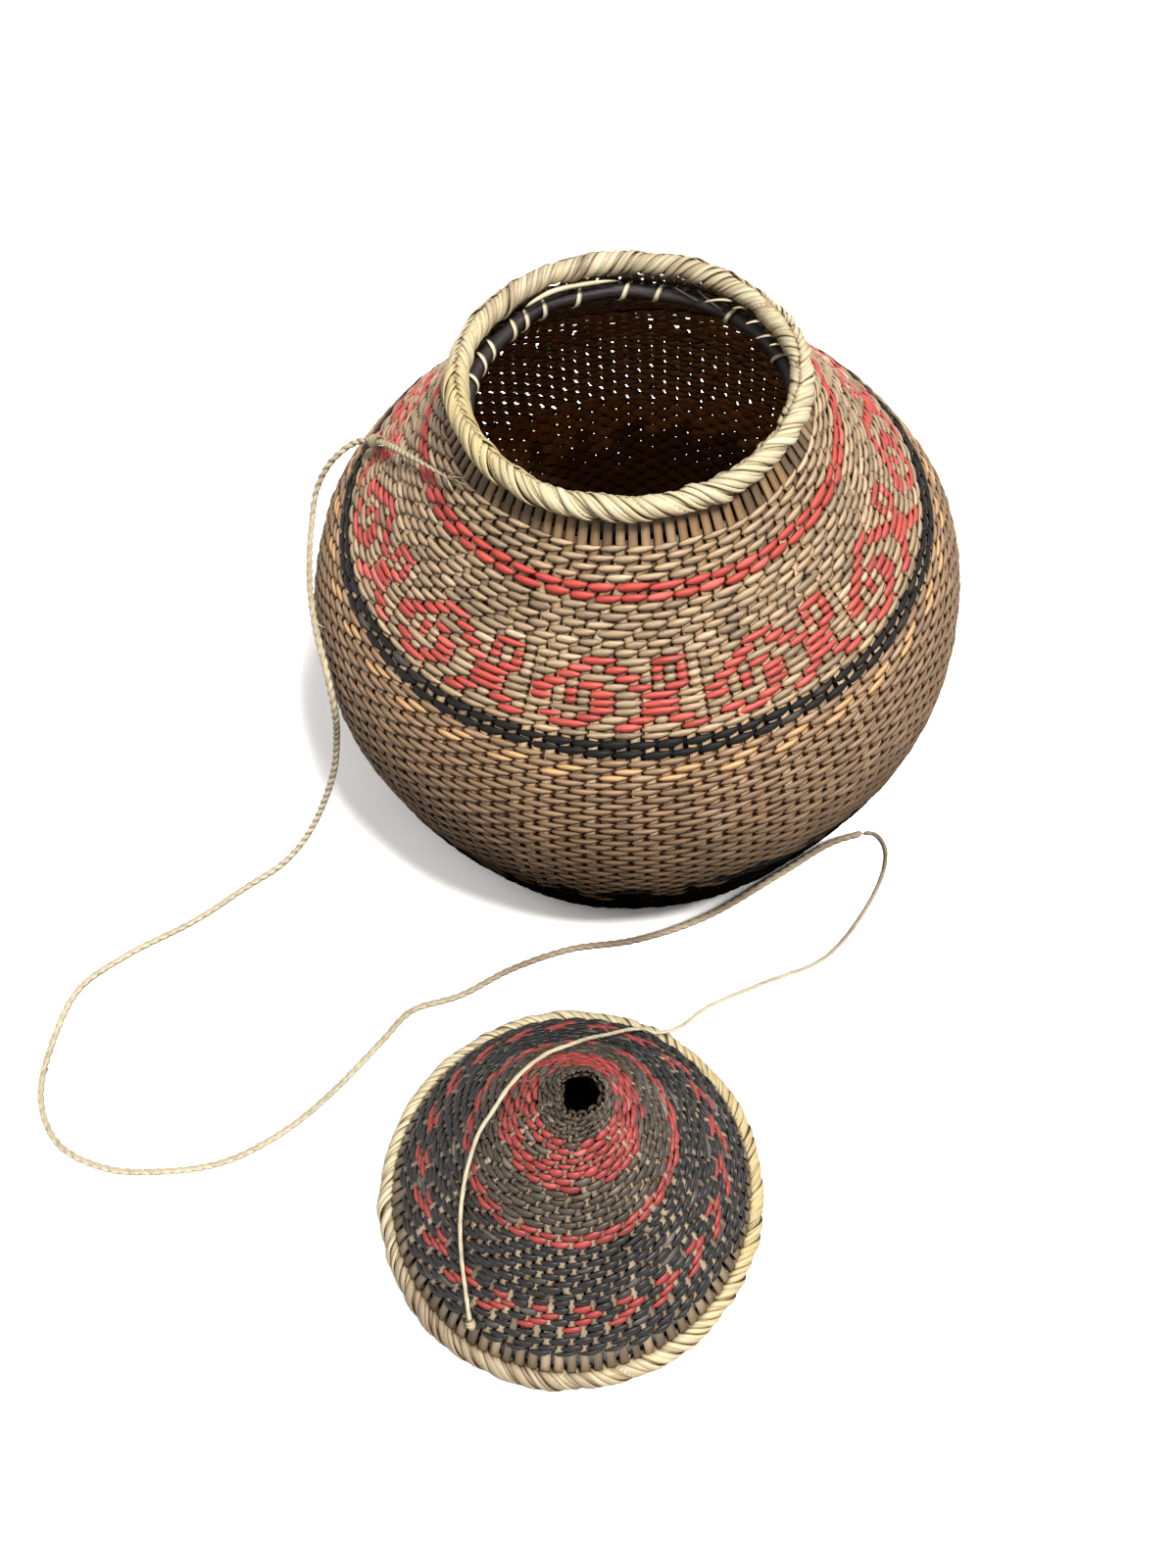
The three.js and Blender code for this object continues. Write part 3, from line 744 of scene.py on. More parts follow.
def fibre_finish(name, natural, dyed=None, golden=None, depth=0.6, gloss=0.5, streak=0.35, bump=0.5,
                 edging=1.0, low_shade=1.0, shine=0.35):
    """Split plant fibre: fine streaks along each strand and a tone of its own, with painted shade at its ends
    and in nooks, and painted shade and highlight across its width.
    """
    material = bpy.data.materials.get(name) or bpy.data.materials.new(name)
    n = Nodes(material)
    fibre = n.attribute("fibre", "Vector")
    streaks = n.noise(Vector=n.stretched(fibre, FINE_GRAIN), Scale=1.0, Detail=3.0, Roughness=0.6)
    patches = n.noise(Vector=n.stretched(fibre, BROAD_GRAIN), Scale=1.0, Detail=2.0)
    patches = n.math("SUBTRACT", patches, 0.5)
    tone = n.math("ADD", n.attribute("tone"), n.math("MULTIPLY", patches, PATCH_DEPTH), True)
    base = tones(n, tone, natural, depth)
    if golden is not None:
        base = n.mix(n.attribute("golden"), base, tones(n, tone, golden, depth * GOLDEN_DEPTH))
    if dyed is not None:
        base = n.mix(n.attribute("dyed"), base, tones(n, tone, dyed, depth * DYED_DEPTH))
    stops = (0.28, 1 - streak), (0.55, 1.0), (0.8, 1 + streak * 0.5)
    base = n.shade(base, n.ramp(streaks, [(place, (light,) * 3) for place, light in stops]))
    # Painted shade: darker towards each strand's ends.
    from_middle = n.math("ABSOLUTE", n.math("SUBTRACT", n.attribute("place"), 0.5))
    base = n.shade(base, n.ramp(from_middle, END_SHADE))
    # Painted shade at one edge of each strand and a painted highlight near the other.
    across = n.add("ShaderNodeMath", {0: n.attribute("edge"), 1: 0.5, 2: 0.5}, operation="MULTIPLY_ADD")
    base = n.mix(edging, base, n.shade(base, n.ramp(across.outputs[0], WIDTH_SHADE)))
    # Painted shade: the wall darker towards the floor; its shine is also lower there.
    if low_shade < 1.0:
        height = n.add("ShaderNodeSeparateXYZ", {0: n.add("ShaderNodeTexCoord").outputs["Object"]}).outputs[2]
        stops = (0.0, (low_shade * 0.6,) * 3), (0.45, (low_shade,) * 3), (1.0, (1, 1, 1))
        low_shaded = n.ramp(n.mapped(height, LOW_SHADE_HEIGHTS), stops)
        # Painted light: the inner floats brightened and warmed as if lit through the mouth, in place of the
        # painted shade near the floor.
        base = n.mix(n.attribute("inside"), n.shade(base, low_shaded), n.shade(base, INSIDE_PAINTED_LIGHT))
        shine = n.math("MULTIPLY", n.mapped(height, SHINE_HEIGHTS), shine)
    # Painted shade where nearby things hide the light.
    base = n.shade(base, n.ramp(n.openness(NOOK_REACH, 4), NOOK_SHADE))
    smoother, rougher = ROUGHNESS_RANGE
    rough = n.mapped(streaks, {"To Min": gloss - smoother, "To Max": gloss + rougher})
    relief = n.add("ShaderNodeBump", {"Height": streaks, "Strength": bump, "Distance": STREAK_HEIGHT})
    n.surface(n.add("ShaderNodeBsdfPrincipled", {
        "Base Color": base, "Roughness": rough, "Specular IOR Level": shine, "Normal": relief.outputs[0],
    }))
    return material


def finish_of(context, name):
    """One of the basket's fibres, in the sidebar's colours."""
    c = context.scene.basket_colours
    crimson = shaded(c.red, 0.72, (0.55, 0.05, 0.09), 0.25)
    raffia = {"depth": 0.5, "gloss": 0.5, "streak": 0.4, "bump": 0.8}
    straw = {"golden": shaded(c.straw, 0.95, (0.8, 0.6, 0.2), 0.65), "dyed": c.aged,
             "depth": 0.45, "gloss": 0.38, "streak": 0.3}
    kinds = {
        "cord_raffia": (c.raffia, dict(raffia, dyed=shaded(c.aged, 0.75))),
        "raffia": (c.raffia, raffia),
        "brown_weft": (c.brown, dict(golden=c.golden, dyed=c.black, low_shade=0.36, streak=0.5, gloss=0.42,
                                     shine=0.55)),
        "beige_weft": (c.beige, dict(dyed=c.red, depth=0.75, streak=0.5, gloss=0.42, shine=0.5)),
        "black_weft": (shaded(c.black, 0.6), dict(dyed=c.brown, depth=0.5, shine=0.22)),
        "red_weft": (c.red, dict(dyed=c.beige, depth=0.45)),
        "stake": (c.stake, dict(dyed=shaded(c.grey, 1.9), golden=c.golden, depth=0.5, gloss=0.45)),
        "straw_border": (c.straw, dict(straw, edging=0.25)),
        "hoop": (c.hoop, dict(dyed=shaded(c.straw, 0.8), depth=0.8, gloss=0.38, streak=0.5, bump=1.0)),
        "lid_black_weft": (c.black, dict(dyed=crimson, depth=0.8, gloss=0.38, shine=0.4)),
        "lid_red_weft": (crimson, dict(dyed=c.grey, depth=0.75, gloss=0.38, shine=0.45)),
        "grey_weft": (shaded(c.grey, 0.7), dict(dyed=c.red, depth=0.75, gloss=0.38, shine=0.4)),
        "lid_stake": (c.lid_stake, dict(dyed=shaded(c.grey, 2.0), depth=0.6, gloss=0.42)),
        "lid_straw": (c.straw, dict(straw, edging=0.35)),
    }
    natural, settings = kinds[name]
    return fibre_finish(name, natural, **settings)


# Stakes and rows

class Stakes:
    """Which stakes run at each row, and the angles they stand at."""

    def __init__(self, total, counts, first_angle, full_row):
        rows = len(counts)
        present = np.ones((total, rows), bool)
        turn = 0
        for order in (range(full_row + 1, rows), range(full_row - 1, -1, -1)):
            alive = np.ones(total, bool)
            for row in order:
                while alive.sum() > counts[row]:
                    turn += 1
                    left = np.flatnonzero(alive)
                    p = int((turn * GOLDEN_RATIO) % 1.0 * (len(left) - 1))
                    alive[left[p]] = alive[left[p + 1]] = False
                present[:, row] = alive
        weight = present.astype(float)
        for row in range(rows):
            for back, share in STAKE_ROOM:
                for other in (row - back, row + back):
                    if 0 <= other < rows:
                        gone = ~present[:, row] & present[:, other]
                        weight[gone, row] = np.maximum(weight[gone, row], share)
        run = np.cumsum(weight, axis=0) - weight / 2
        self.angles = first_angle + TURN * run / weight.sum(axis=0)
        self.present = present

    def gaps(self, row):
        """Angles of the gaps before each stake of a row, twice round."""
        angles = self.angles[self.present[:, row], row]
        before = np.roll(angles, 1)
        before[0] -= TURN
        middle = (angles + before) / 2
        return np.concatenate([middle, middle + TURN])


class Rows:
    """The rows of weft of one woven piece, band by band."""

    def __init__(self):
        self.middles, self.pitches, self.spans = [], [], {}

    def add(self, band, start, end, pitch, count=None):
        count = count or max(1, int(round((end - start) / pitch)))
        step = (end - start) / count
        self.spans[band] = (len(self.middles), len(self.middles) + count)
        self.middles += [start + (k + 0.5) * step for k in range(count)]
        self.pitches += [step] * count

    def add_bands(self, surface, bands, pitch):
        """Fills each band between the heights that its CAD node has on the outer face."""
        edges = []
        for name in bands:
            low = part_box(name)[0].z / MM
            tilt = float(np.interp(surface.along(low), surface.s, surface.nz))
            edges.append(surface.along(max(BASE_EDGE, low + max(0.0, tilt) * 2 * surface.half)))
        edges.append(surface.along(top_of(list(bands)[-1])))
        for (name, band), start, end in zip(bands.items(), edges, edges[1:]):
            self.add(name, start, end, pitch * band.pitch, band.rows)


def top_of(node):
    """Height of a CAD node's top."""
    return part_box(node)[1].z / MM


def even(count):
    """The even number nearest to a count, so that floats over two stakes fit."""
    return 2 * int(round(count / 2))


def offset_inward(curve, distance):
    """A curve of radius and height, moved in towards the axis."""
    tangent = unit(np.gradient(curve, axis=0))
    return curve + np.stack([-tangent[:, 1], tangent[:, 0]], -1) * distance


def weave_basket(sizes):
    half = WALL_THICKNESS / 2
    wall = offset_inward(catmull(WALL_CURVE, CURVE_POINTS), half)
    radii = np.arange(BASE_HUB, wall[0, 0] - BASE_MARGIN, 1.0)
    profile = np.vstack([np.stack([radii, np.full(len(radii), BASE_HEIGHT)], -1), wall])
    surface = Woven(profile, half, AXIS, 0.0, sizes.unevenness, WALL_DENTS, WALL_SAGS)
    pitch = sizes.row_pitch / MM
    rows = Rows()
    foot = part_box("foot_rows")[0].z / MM
    rows.add("base_disc", BASE_START, surface.along(foot + BASE_EDGE), pitch)
    rows.add_bands(surface, WALL_BANDS, pitch)
    neck_first = rows.spans["plain_band"][0]
    climb = len(rows.middles) - neck_first - NECK_STEADY_ROWS
    counts = []
    for row, s in enumerate(rows.middles):
        if row < neck_first:
            room = TURN * float(surface.radius(s)) / BASE_SPACING
            count = min(sizes.wall_stakes, max(FEWEST_STAKES, room))
        else:
            share = min(1.0, (row - neck_first + 1) / climb)
            count = between((sizes.wall_stakes, sizes.neck_stakes), share)
        counts.append(even(count))
    stakes = Stakes(sizes.wall_stakes, counts, FIRST_FIGURE_ANGLE, rows.spans["figured_band"][0])
    return Weave(surface, rows, stakes)


def weave_lid(sizes):
    half = LID_THICKNESS / 2
    low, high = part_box("lid_border")
    centre = (low.x + high.x) / 2 / MM - LID_LEAN * LID_FOOT, (low.y + high.y) / 2 / MM
    wall = offset_inward(catmull(LID_CURVE, CURVE_POINTS), half)
    surface = Woven(wall, half, centre, LID_LEAN, sizes.unevenness * LID_EVENNESS, LID_DENTS, LID_SAGS)
    rows = Rows()
    rows.add_bands(surface, LID_BANDS, sizes.row_pitch * LID_FINENESS / MM)
    counts = []
    for row, s in enumerate(rows.middles):
        narrowed = CROWN_STAKES + CROWN_GROWTH * float(surface.radius(s))
        full = row <= max(LID_MARKS) + 1
        counts.append(even(sizes.lid_stakes if full else min(sizes.lid_stakes, narrowed)))
    return Weave(surface, rows, Stakes(sizes.lid_stakes, counts, FIRST_LID_ANGLE, 0))


WEAVES = {}


def woven(context, body):
    """A body's surface, rows and stakes, worked out once."""
    if body not in WEAVES:
        make = weave_basket if body == "basket" else weave_lid
        WEAVES[body] = make(context.scene.basket_weave)
    return WEAVES[body]


def plain_row(weave, row, parity, rng, band, golden=-1):
    """A row of floats over two stakes each; every other float from the golden stake on is golden."""
    starts = np.arange(parity, weave.stakes.present[:, row].sum() + parity, 2)
    tone = band.tone + band.spread * rng.standard_normal(len(starts))
    dyed = (rng.random(len(starts)) < band.dyed).astype(float)
    gold = (starts % 4 == golden).astype(float)
    return {"row": row, "starts": starts, "lengths": 2, "tone": tone, "dyed": dyed, "golden": gold,
            "slim": band.slim}


def figured_row(weave, row, text, rng):
    """A row of figures, repeated round the basket."""
    tokens = text.split()
    lengths = np.array([int(token[1:]) for token in tokens])
    repeats = len(weave.stakes.present) // lengths.sum()
    lengths = np.tile(lengths, repeats)
    dyed = np.tile([float(token[0] == "R") for token in tokens], repeats)
    starts = np.cumsum(lengths) - lengths
    tone = np.where(dyed > 0, FIGURE_TONES[1], FIGURE_TONES[0])
    tone = tone + FIGURE_SPREAD * rng.standard_normal(len(starts))
    return {"row": row, "starts": starts, "lengths": lengths, "tone": tone, "dyed": dyed, "golden": 0.0,
            "slim": FIGURE_SLIM}


def heel_dye(weave, floats):
    """Black where a row's floats lie in the saw-toothed figures at the foot."""
    angle = weave.stakes.gaps(floats["row"])[floats["starts"]]
    tooth = (angle / TURN * HEEL_FIGURES) % 1.0
    raised = HEEL_RAISED * np.exp(-(away_from(angle, HEEL_RAISED_AT) / math.radians(HEEL_RAISED_SPREAD)) ** 2)
    under = HEEL_TOP + raised - HEEL_FALL * tooth - weave.surface.height(weave.rows.middles[floats["row"]])
    low, high, start = HEEL_LINE
    return ((under > 0) & ~((under > low) & (under < high) & (tooth > start))).astype(float)


def wall_row(weave, name, row, rng):
    """The floats of one row of the wall, staggered by one stake from the row before."""
    band = WALL_BANDS[name]
    from_top = weave.rows.spans[name][1] - 1 - row
    parity = (row - weave.rows.spans["figured_band"][0] + 1) % 2
    golden = -1
    if name == "figured_band" and from_top < len(FIGURE_CHART):
        return figured_row(weave, row, FIGURE_CHART[from_top], rng)
    if name == "shoulder_wall" and from_top < WARM_ROWS:
        band = band._replace(tone=WARM_TONE)
        golden = {1: parity, 2: (1 - parity + 3) % 4}.get(from_top, -1)
    if name == "collar_rows" and from_top == 0:
        band = band._replace(**LOOSE_COLLAR)
    floats = plain_row(weave, row, parity, rng, band, golden)
    if name in ("heel_wall", "bowl_wall"):
        floats["dyed"] = heel_dye(weave, floats)
    return floats


def lid_row(weave, name, row, rng):
    """The floats of one row of the lid, with its red mark where it has one."""
    band = LID_BANDS[name]
    if name != "lid_crown_collar":
        band = band._replace(slim=band.slim + LID_SLIM_SPREAD * rng.standard_normal())
    floats = plain_row(weave, row, row % 2, rng, band)
    if row in LID_MARKS:
        at = LID_MARKS[row]
        starts = np.arange(len(floats["starts"])) * 2 + at % 2
        red = starts % 4 == at
        tone = np.where(red, LID_MARK_TONE, floats["tone"])
        floats.update(starts=starts, dyed=red.astype(float), tone=tone)
    return floats


def float_bundle(weave, plan, flip, seed, reach, shift=0.0):
    """The floats of some rows, outside and inside the wall, their tips to the left where flip is set."""
    rng = np.random.default_rng(seed)

    def column(value):
        return np.concatenate([np.broadcast_to(value(floats), len(floats["starts"])) for floats in plan])

    def uneven(share, middle=1):
        return middle + share * rng.standard_normal((n, 1))

    surface, rows, stakes = weave
    a = column(lambda floats: stakes.gaps(floats["row"])[floats["starts"]])[:, None]
    b = column(lambda floats: stakes.gaps(floats["row"])[floats["starts"] + floats["lengths"]])[:, None]
    s = column(lambda floats: rows.middles[floats["row"]])[:, None]
    pitch = column(lambda floats: rows.pitches[floats["row"]])[:, None]
    slim = column(lambda floats: floats["slim"])[:, None]
    tone, dyed, golden = (column(lambda floats: floats[key]) for key in ("tone", "dyed", "golden"))
    tone = np.clip(tone, 0, 1)
    n, width, sign = len(a), b - a, -1.0 if flip else 1.0

    along = (FLOAT_PLACES - 0.5) * reach * uneven(UNEVEN.long) + 0.5 + shift + uneven(UNEVEN.place, 0)
    angle = a + width * (1 - along if flip else along)
    rise = FLOAT_RISES * uneven(UNEVEN.slant) + uneven(UNEVEN.rise, 0)
    path, normal = surface.at(angle, s + sign * pitch * rise, FLOAT_LIFTS * uneven(UNEVEN.lift))
    high = FLOAT_HEIGHTS * pitch * (slim * uneven(UNEVEN.height))
    loose = np.interp(surface.height(s), LOOSE_HEIGHTS, LOOSE_SHARES)
    loose = near_heading(a, LOOSE_HEADING, LOOSE_SPREAD) * loose
    loose = loose * np.clip(uneven(UNEVEN.loose), 0, 1.3) * (not flip)
    outer = strands(path, normal, high * (1 - 0.15 * loose), FLOAT_HALF_THICKNESS * uneven(UNEVEN.thick), 6)
    # The painted shade across a float stays on the same side when its tips point left.
    outer["values"]["edge"] *= sign
    outer = marked(outer, tone=tone, dyed=dyed, golden=golden, inside=0.0)

    closed = loose < 0.1
    angle = a + width * (INNER_PLACES + 0.5 * closed)
    rise = INNER_SLANT * (INNER_PLACES - 0.5)
    path, normal = surface.at(angle, s + pitch * rise, -INNER_LIFTS * uneven(UNEVEN.lift))
    high = INNER_HEIGHTS * pitch * np.where(closed, INNER_CLOSED_FILL, INNER_OPEN_FILL - 0.4 * loose)
    inner = strands(path, normal, high, INNER_HALF_THICKNESS * 0.8, 4)
    # Painted shade: every inner float takes one darkened place on the ramp across a strand.
    inner["values"]["edge"][:] = INNER_EDGE
    inner = marked(inner, tone=tone * INNER_TONE, dyed=dyed * INNER_DYE, golden=0.0, inside=1.0)
    return joined([outer, inner])


def part_rows(weave, row, plan, tone, rng):
    """Rows beside a whole row that run only part of the way round."""
    surface, rows, stakes = weave
    gaps, pitch = stakes.gaps(row), rows.pitches[row]
    bundles = []
    for away, start, end, first in plan:
        starts = np.arange(first, len(gaps) // 2, 2)
        heading = np.degrees(away_from(gaps[starts], 0.0))
        starts = starts[(heading > start) & (heading < end)]
        a = gaps[starts][:, None]
        width = gaps[starts + 2][:, None] - a
        n = len(starts)
        s = rows.middles[row] + pitch * (away + 0.06 * rng.standard_normal((n, 1)))
        path, normal = surface.at(a + width * FLOAT_PLACES, s + pitch * FLOAT_RISES, FLOAT_LIFTS)
        high = 0.9 * FLOAT_HEIGHTS * pitch * (1 + 0.1 * rng.standard_normal((n, 1)))
        body = strands(path, normal, high, FLOAT_HALF_THICKNESS, 6)
        own = np.clip(tone + 0.15 * rng.standard_normal(n), 0, 1)
        bundles.append(marked(body, tone=own, dyed=0.0, golden=0.0, inside=0.0))
    return bundles


def stake_bundle(context, body, strip, top):
    """One flat strip for each stake from its first row to its last."""
    surface, rows, stakes = woven(context, body)
    rng = np.random.default_rng(STAKE_SEEDS[body])
    width = context.scene.basket_weave.stake_width * strip.width / MM
    total, count = stakes.present.shape
    middles = np.array(rows.middles)
    first = np.argmax(stakes.present, axis=1)
    last = count - 1 - np.argmax(stakes.present[:, ::-1], axis=1)
    reach = STAKE_OVERRUN * rows.pitches[0]
    start = np.where(first == 0, strip.start, middles[first] - reach)
    end = np.where(last == count - 1, surface.along(top_of(top)) + strip.past, middles[last] + reach)
    s = start[:, None] + (end - start)[:, None] * np.linspace(0, 1, strip.stations)
    angle = np.stack([np.interp(s[i], middles, stakes.angles[i]) for i in range(total)])
    present = np.interp(s, middles, stakes.present.sum(axis=0))
    pitch = TURN * surface.radius(np.clip(s, surface.s[0], surface.s[-1])) / present
    path, normal = surface.at(angle, s, STAKE_LIFT + STAKE_LIFT_SPREAD * rng.standard_normal((total, 1)))
    uneven = 1 + STAKE_WIDTH_SPREAD * rng.standard_normal((total, 1))
    half = np.minimum(width, pitch * STAKE_CROWDING) / 2 * uneven
    tone = np.clip(0.5 + STAKE_TONE_SPREAD * rng.standard_normal(total), 0, 1)
    kind = rng.random(total)
    golden = np.where(kind < GOLDEN_STAKES_TO, 0.5, 0.05)
    dyed = np.where(kind > GREY_STAKES_FROM, 0.7, 0.0)
    bundle = strands(path, normal, half[:, 1:-1], STAKE_HALF_THICKNESS, 4)
    # A weaker painted shade and highlight across the stakes.
    bundle["values"]["edge"] *= 0.35
    return marked(bundle, tone=tone, golden=golden, dyed=dyed)


# Cord

def twisted_tube(route, diameter, twist):
    """A tube whose two-lobed section turns along the route, its middle line and its length."""
    path, length = smooth_route(route, ROUTE_STEP)
    path = path / MM
    stations, ring = len(path), twist.ring
    heading = unit(np.gradient(path, axis=0))
    out = np.zeros_like(heading)
    side = unit(np.cross(heading[0], UP))
    for k, ahead in enumerate(heading):
        side = unit(side - ahead * side.dot(ahead))
        out[k] = np.cross(ahead, side)
    across = np.cross(out, heading)
    run = np.linspace(0, length / MM, stations)
    angle = TURN * np.arange(ring) / ring
    lobes = np.maximum(twist.lobe ** 2 - (twist.gap * np.sin(angle)) ** 2, 0)
    radius = twist.gap * np.abs(np.cos(angle)) + np.sqrt(lobes)
    thin = np.minimum(run / twist.start_taper, (run[-1] - run) / twist.end_taper)
    thin = np.maximum(np.clip(thin, 0.0, 1.0) ** 0.5, 0.25)
    turn = angle + (TURN * run / twist.pitch)[:, None]
    wide = diameter / MM * radius * thin[:, None]
    rings = path[:, None] + across[:, None] * (wide * np.cos(turn))[..., None]
    rings = rings + out[:, None] * (wide * np.sin(turn))[..., None]
    bundle = skinned(path[:1], rings[None], path[-1:])
    long = np.concatenate([[0], np.repeat(run, ring), [run[-1]]])
    around = tipped(np.tile(angle * diameter / MM / 2, stations)[None])
    ply = tipped(np.tile(np.where(np.cos(angle) > 0, *PLY_TONES), stations)[None])
    upward = across[:, None, 2] * np.cos(turn) + out[:, None, 2] * np.sin(turn)
    aged = np.interp(long / run[-1], twist.aged_at, twist.aged) * (1 + 0.25 * np.sin(long / 9.0))
    bundle["fibre"] = np.stack([long, around, ply * 9], -1)
    bundle["values"] = {
        "place": np.full(len(long), 0.5),
        # Painted shade and highlight: lighter on the cord's upper side and darker underneath.
        "edge": tipped((0.15 + 0.75 * upward)[None]),
        "tone": np.clip(0.55 + ply + 0.1 * np.sin(long / 23.0) + 0.08 * np.sin(long / 7.0), 0, 1),
        "dyed": np.clip(aged, 0, 1),
    }
    return bundle, path, length


def wrapped_knot(name, path, middle, knot, finish):
    """A few turns of ply wound round the cord."""
    heading = unit(path[min(middle + 2, len(path) - 1)] - path[middle - 2])
    side = unit(np.cross(heading, [0.3, 0.2, 1.0]))
    t = np.linspace(0, 1, knot.turns * KNOT_POINTS + 3)[:, None]
    angle = TURN * knot.turns * t
    out = side * np.cos(angle) + np.cross(heading, side) * np.sin(angle)
    centre = path[middle] + heading * ((t - 0.5) * (knot.long - 2 * knot.ply))
    coil = centre + out * (knot.radius * (0.75 + 0.45 * np.sin(math.pi * t)))
    body = strands(coil[None], out[None], knot.ply * 1.5, knot.ply, 8)
    return piece(name, marked(body, tone=0.55), finish)


def loose_fibres(name, path, rng, finish):
    """The tail's opened end and the fibres that stand off the cord."""
    routes = []
    t = np.linspace(0, 1, 8)[:, None]
    back = unit(path[0] - path[6])
    for _ in range(TAIL_FRAYS):
        spread = 0.35 * rng.standard_normal(3)
        reach = FRAY_REACH[0] + FRAY_REACH[1] * rng.random()
        heading = unit(back + spread * np.array([1, 1, 0.4]))
        routes.append(path[3] + heading * reach * t + UP * (0.6 + 1.5 * rng.random()) * t ** 2)
    for share in STRAY_FIBRES:
        at = int(share * (len(path) - 1))
        heading = unit(path[at + 6] - path[at])
        off = unit(np.cross(heading, UP)) * (1 if rng.random() > 0.5 else -1) + 0.35 * UP
        reach = STRAY_REACH[0] + STRAY_REACH[1] * rng.random()
        routes.append(path[at] + heading * reach * t + off * reach * 0.7 * t ** 2)
    thin = np.linspace(0.5, 0.16, len(t) - 2)
    body = strands(np.stack(routes), UP, thin * 1.3, thin, 5)
    return piece(name, marked(body, tone=np.clip(0.6 + 0.2 * rng.standard_normal(len(routes)), 0, 1)), finish)


class BASKET_OT_cord(bpy.types.Operator):
    """The two-ply cord, its knot, frayed tail and the thin ply tied to the lid"""
    bl_idname = "basket.cord"
    bl_label = "Cord"

    def execute(self, context):
        finish = finish_of(context, "cord_raffia")
        bundle, path, length = twisted_tube(CORD_ROUTE, CORD_DIAMETER, CORD_TWIST)
        cord = declare(piece("tether_cord", bundle, finish), "basket", "raffia",
                       "cord_tail", "cord_side_run", "cord_floor_run")
        middle = int(KNOT_ALONG / length * (len(path) - 1))
        knot = wrapped_knot("shoulder_knot", path, middle, SHOULDER_KNOT, finish)
        declare(knot, "basket", "raffia", "cord_knot")
        frays = loose_fibres("cord_tail_frays", path, np.random.default_rng(FRAY_SEED), finish)
        declare(frays, "basket", "raffia")

        bundle, path, length = twisted_tube(LEAD_ROUTE, LEAD_DIAMETER, LEAD_TWIST)
        lead = piece("lid_tie", bundle, finish)
        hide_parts("cord_lead", "cord_over_lid")
        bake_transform(lead)
        tie = wrapped_knot("lid_tie_knot", path, len(path) - 3, LID_KNOT, finish)
        declare(tie, "lid", "raffia", "lid_cord_knot")
        return {"FINISHED"}


# Woven pieces

class BASKET_OT_base_weave(bpy.types.Operator):
    """The woven disc that the basket stands on"""
    bl_idname = "basket.base_weave"
    bl_label = "Base weave"

    def execute(self, context):
        weave = woven(context, "basket")
        rng = np.random.default_rng(BASE_SEEDS[0])
        span = range(*weave.rows.spans["base_disc"])
        plan = [plain_row(weave, row, row % 2, rng, BASE_BAND) for row in span]
        bundle = float_bundle(weave, plan, False, BASE_SEEDS[1], BASE_BAND.reach)
        finish = finish_of(context, BASE_BAND.finish)
        declare(piece("base_weave", bundle, finish), "basket", BASE_BAND.slot, "base_disc")
        return {"FINISHED"}


class BASKET_OT_wall_weave(bpy.types.Operator):
    """The rows of weft of the wall, a piece for each band"""
    bl_idname = "basket.wall_weave"
    bl_label = "Wall weave"

    def execute(self, context):
        weave = woven(context, "basket")
        for number, (name, band) in enumerate(WALL_BANDS.items()):
            rng = np.random.default_rng(WALL_SEEDS[0] + number)
            plan = [wall_row(weave, name, row, rng) for row in range(*weave.rows.spans[name])]
            bundle = float_bundle(weave, plan, False, WALL_SEEDS[1] + number, band.reach)
            if name == "collar_rows":
                last = len(weave.rows.middles) - 1
                bundle = joined([bundle, *part_rows(weave, last, NECK_ROWS, NECK_TONE, rng)])
            finish = finish_of(context, band.finish)
            declare(piece(f"{name}_weave", bundle, finish), "basket", band.slot, name)
        return {"FINISHED"}


class BASKET_OT_stakes(bpy.types.Operator):
    """The flat stakes that run from the base to the mouth border"""
    bl_idname = "basket.stakes"
    bl_label = "Stakes"

    def execute(self, context):
        bundle = stake_bundle(context, "basket", WALL_STRIPS, "neck_stakes")
        declare(piece("wall_stakes", bundle, finish_of(context, "stake")), "basket", "stake", "neck_stakes")
        return {"FINISHED"}


class BASKET_OT_lid_weave(bpy.types.Operator):
    """The rows of weft of the lid, a piece for each band"""
    bl_idname = "basket.lid_weave"
    bl_label = "Lid weave"

    def execute(self, context):
        weave = woven(context, "lid")
        for number, (name, band) in enumerate(LID_BANDS.items()):
            rng = np.random.default_rng(LID_SEEDS[0] + number)
            plan = [lid_row(weave, name, row, rng) for row in range(*weave.rows.spans[name])]
            bundle = float_bundle(weave, plan, True, LID_SEEDS[1] + number, band.reach, LID_SHIFT)
            if name == "lid_black_rows":
                bundle = joined([bundle, *part_rows(weave, 0, MARGIN_ROWS, MARGIN_TONE, rng)])
            finish = finish_of(context, band.finish)
            declare(piece(f"{name}_weave", bundle, finish), "lid", band.slot, name)
        return {"FINISHED"}


class BASKET_OT_lid_stakes(bpy.types.Operator):
    """The lid's stakes, from its border to the ragged ends round the crown"""
    bl_idname = "basket.lid_stakes"
    bl_label = "Lid stakes"

    def execute(self, context):
        bundle = stake_bundle(context, "lid", LID_STRIPS, "lid_crown_collar")
        finish = finish_of(context, "lid_stake")
        declare(piece("lid_stake_strips", bundle, finish), "lid", "stake", "lid_margin_stakes")
        return {"FINISHED"}


# Borders and hoop

def ring_of(node):
    """Middle radius, centre and half thickness of a ring-shaped CAD node."""
    low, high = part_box(node)
    thick = (high.z - low.z) / 2 / MM
    centre = (low.x + high.x) / 2 / MM, (low.y + high.y) / 2 / MM, (low.z + high.z) / 2 / MM
    return Ring((high.x - low.x) / 2 / MM - thick, centre, thick)


def settled(bundle, dents):
    """Moves a bundle near the mouth as the wall's dents and the mouth's waves move it."""
    verts = bundle["verts"]
    angle = np.arctan2(verts[:, 1], verts[:, 0])
    for dent in dents:
        verts[:, 2] -= dent.down * dented(dent, angle, verts[:, 2])
    verts[:, 2] += waves(MOUTH_WAVES, angle)
    return bundle


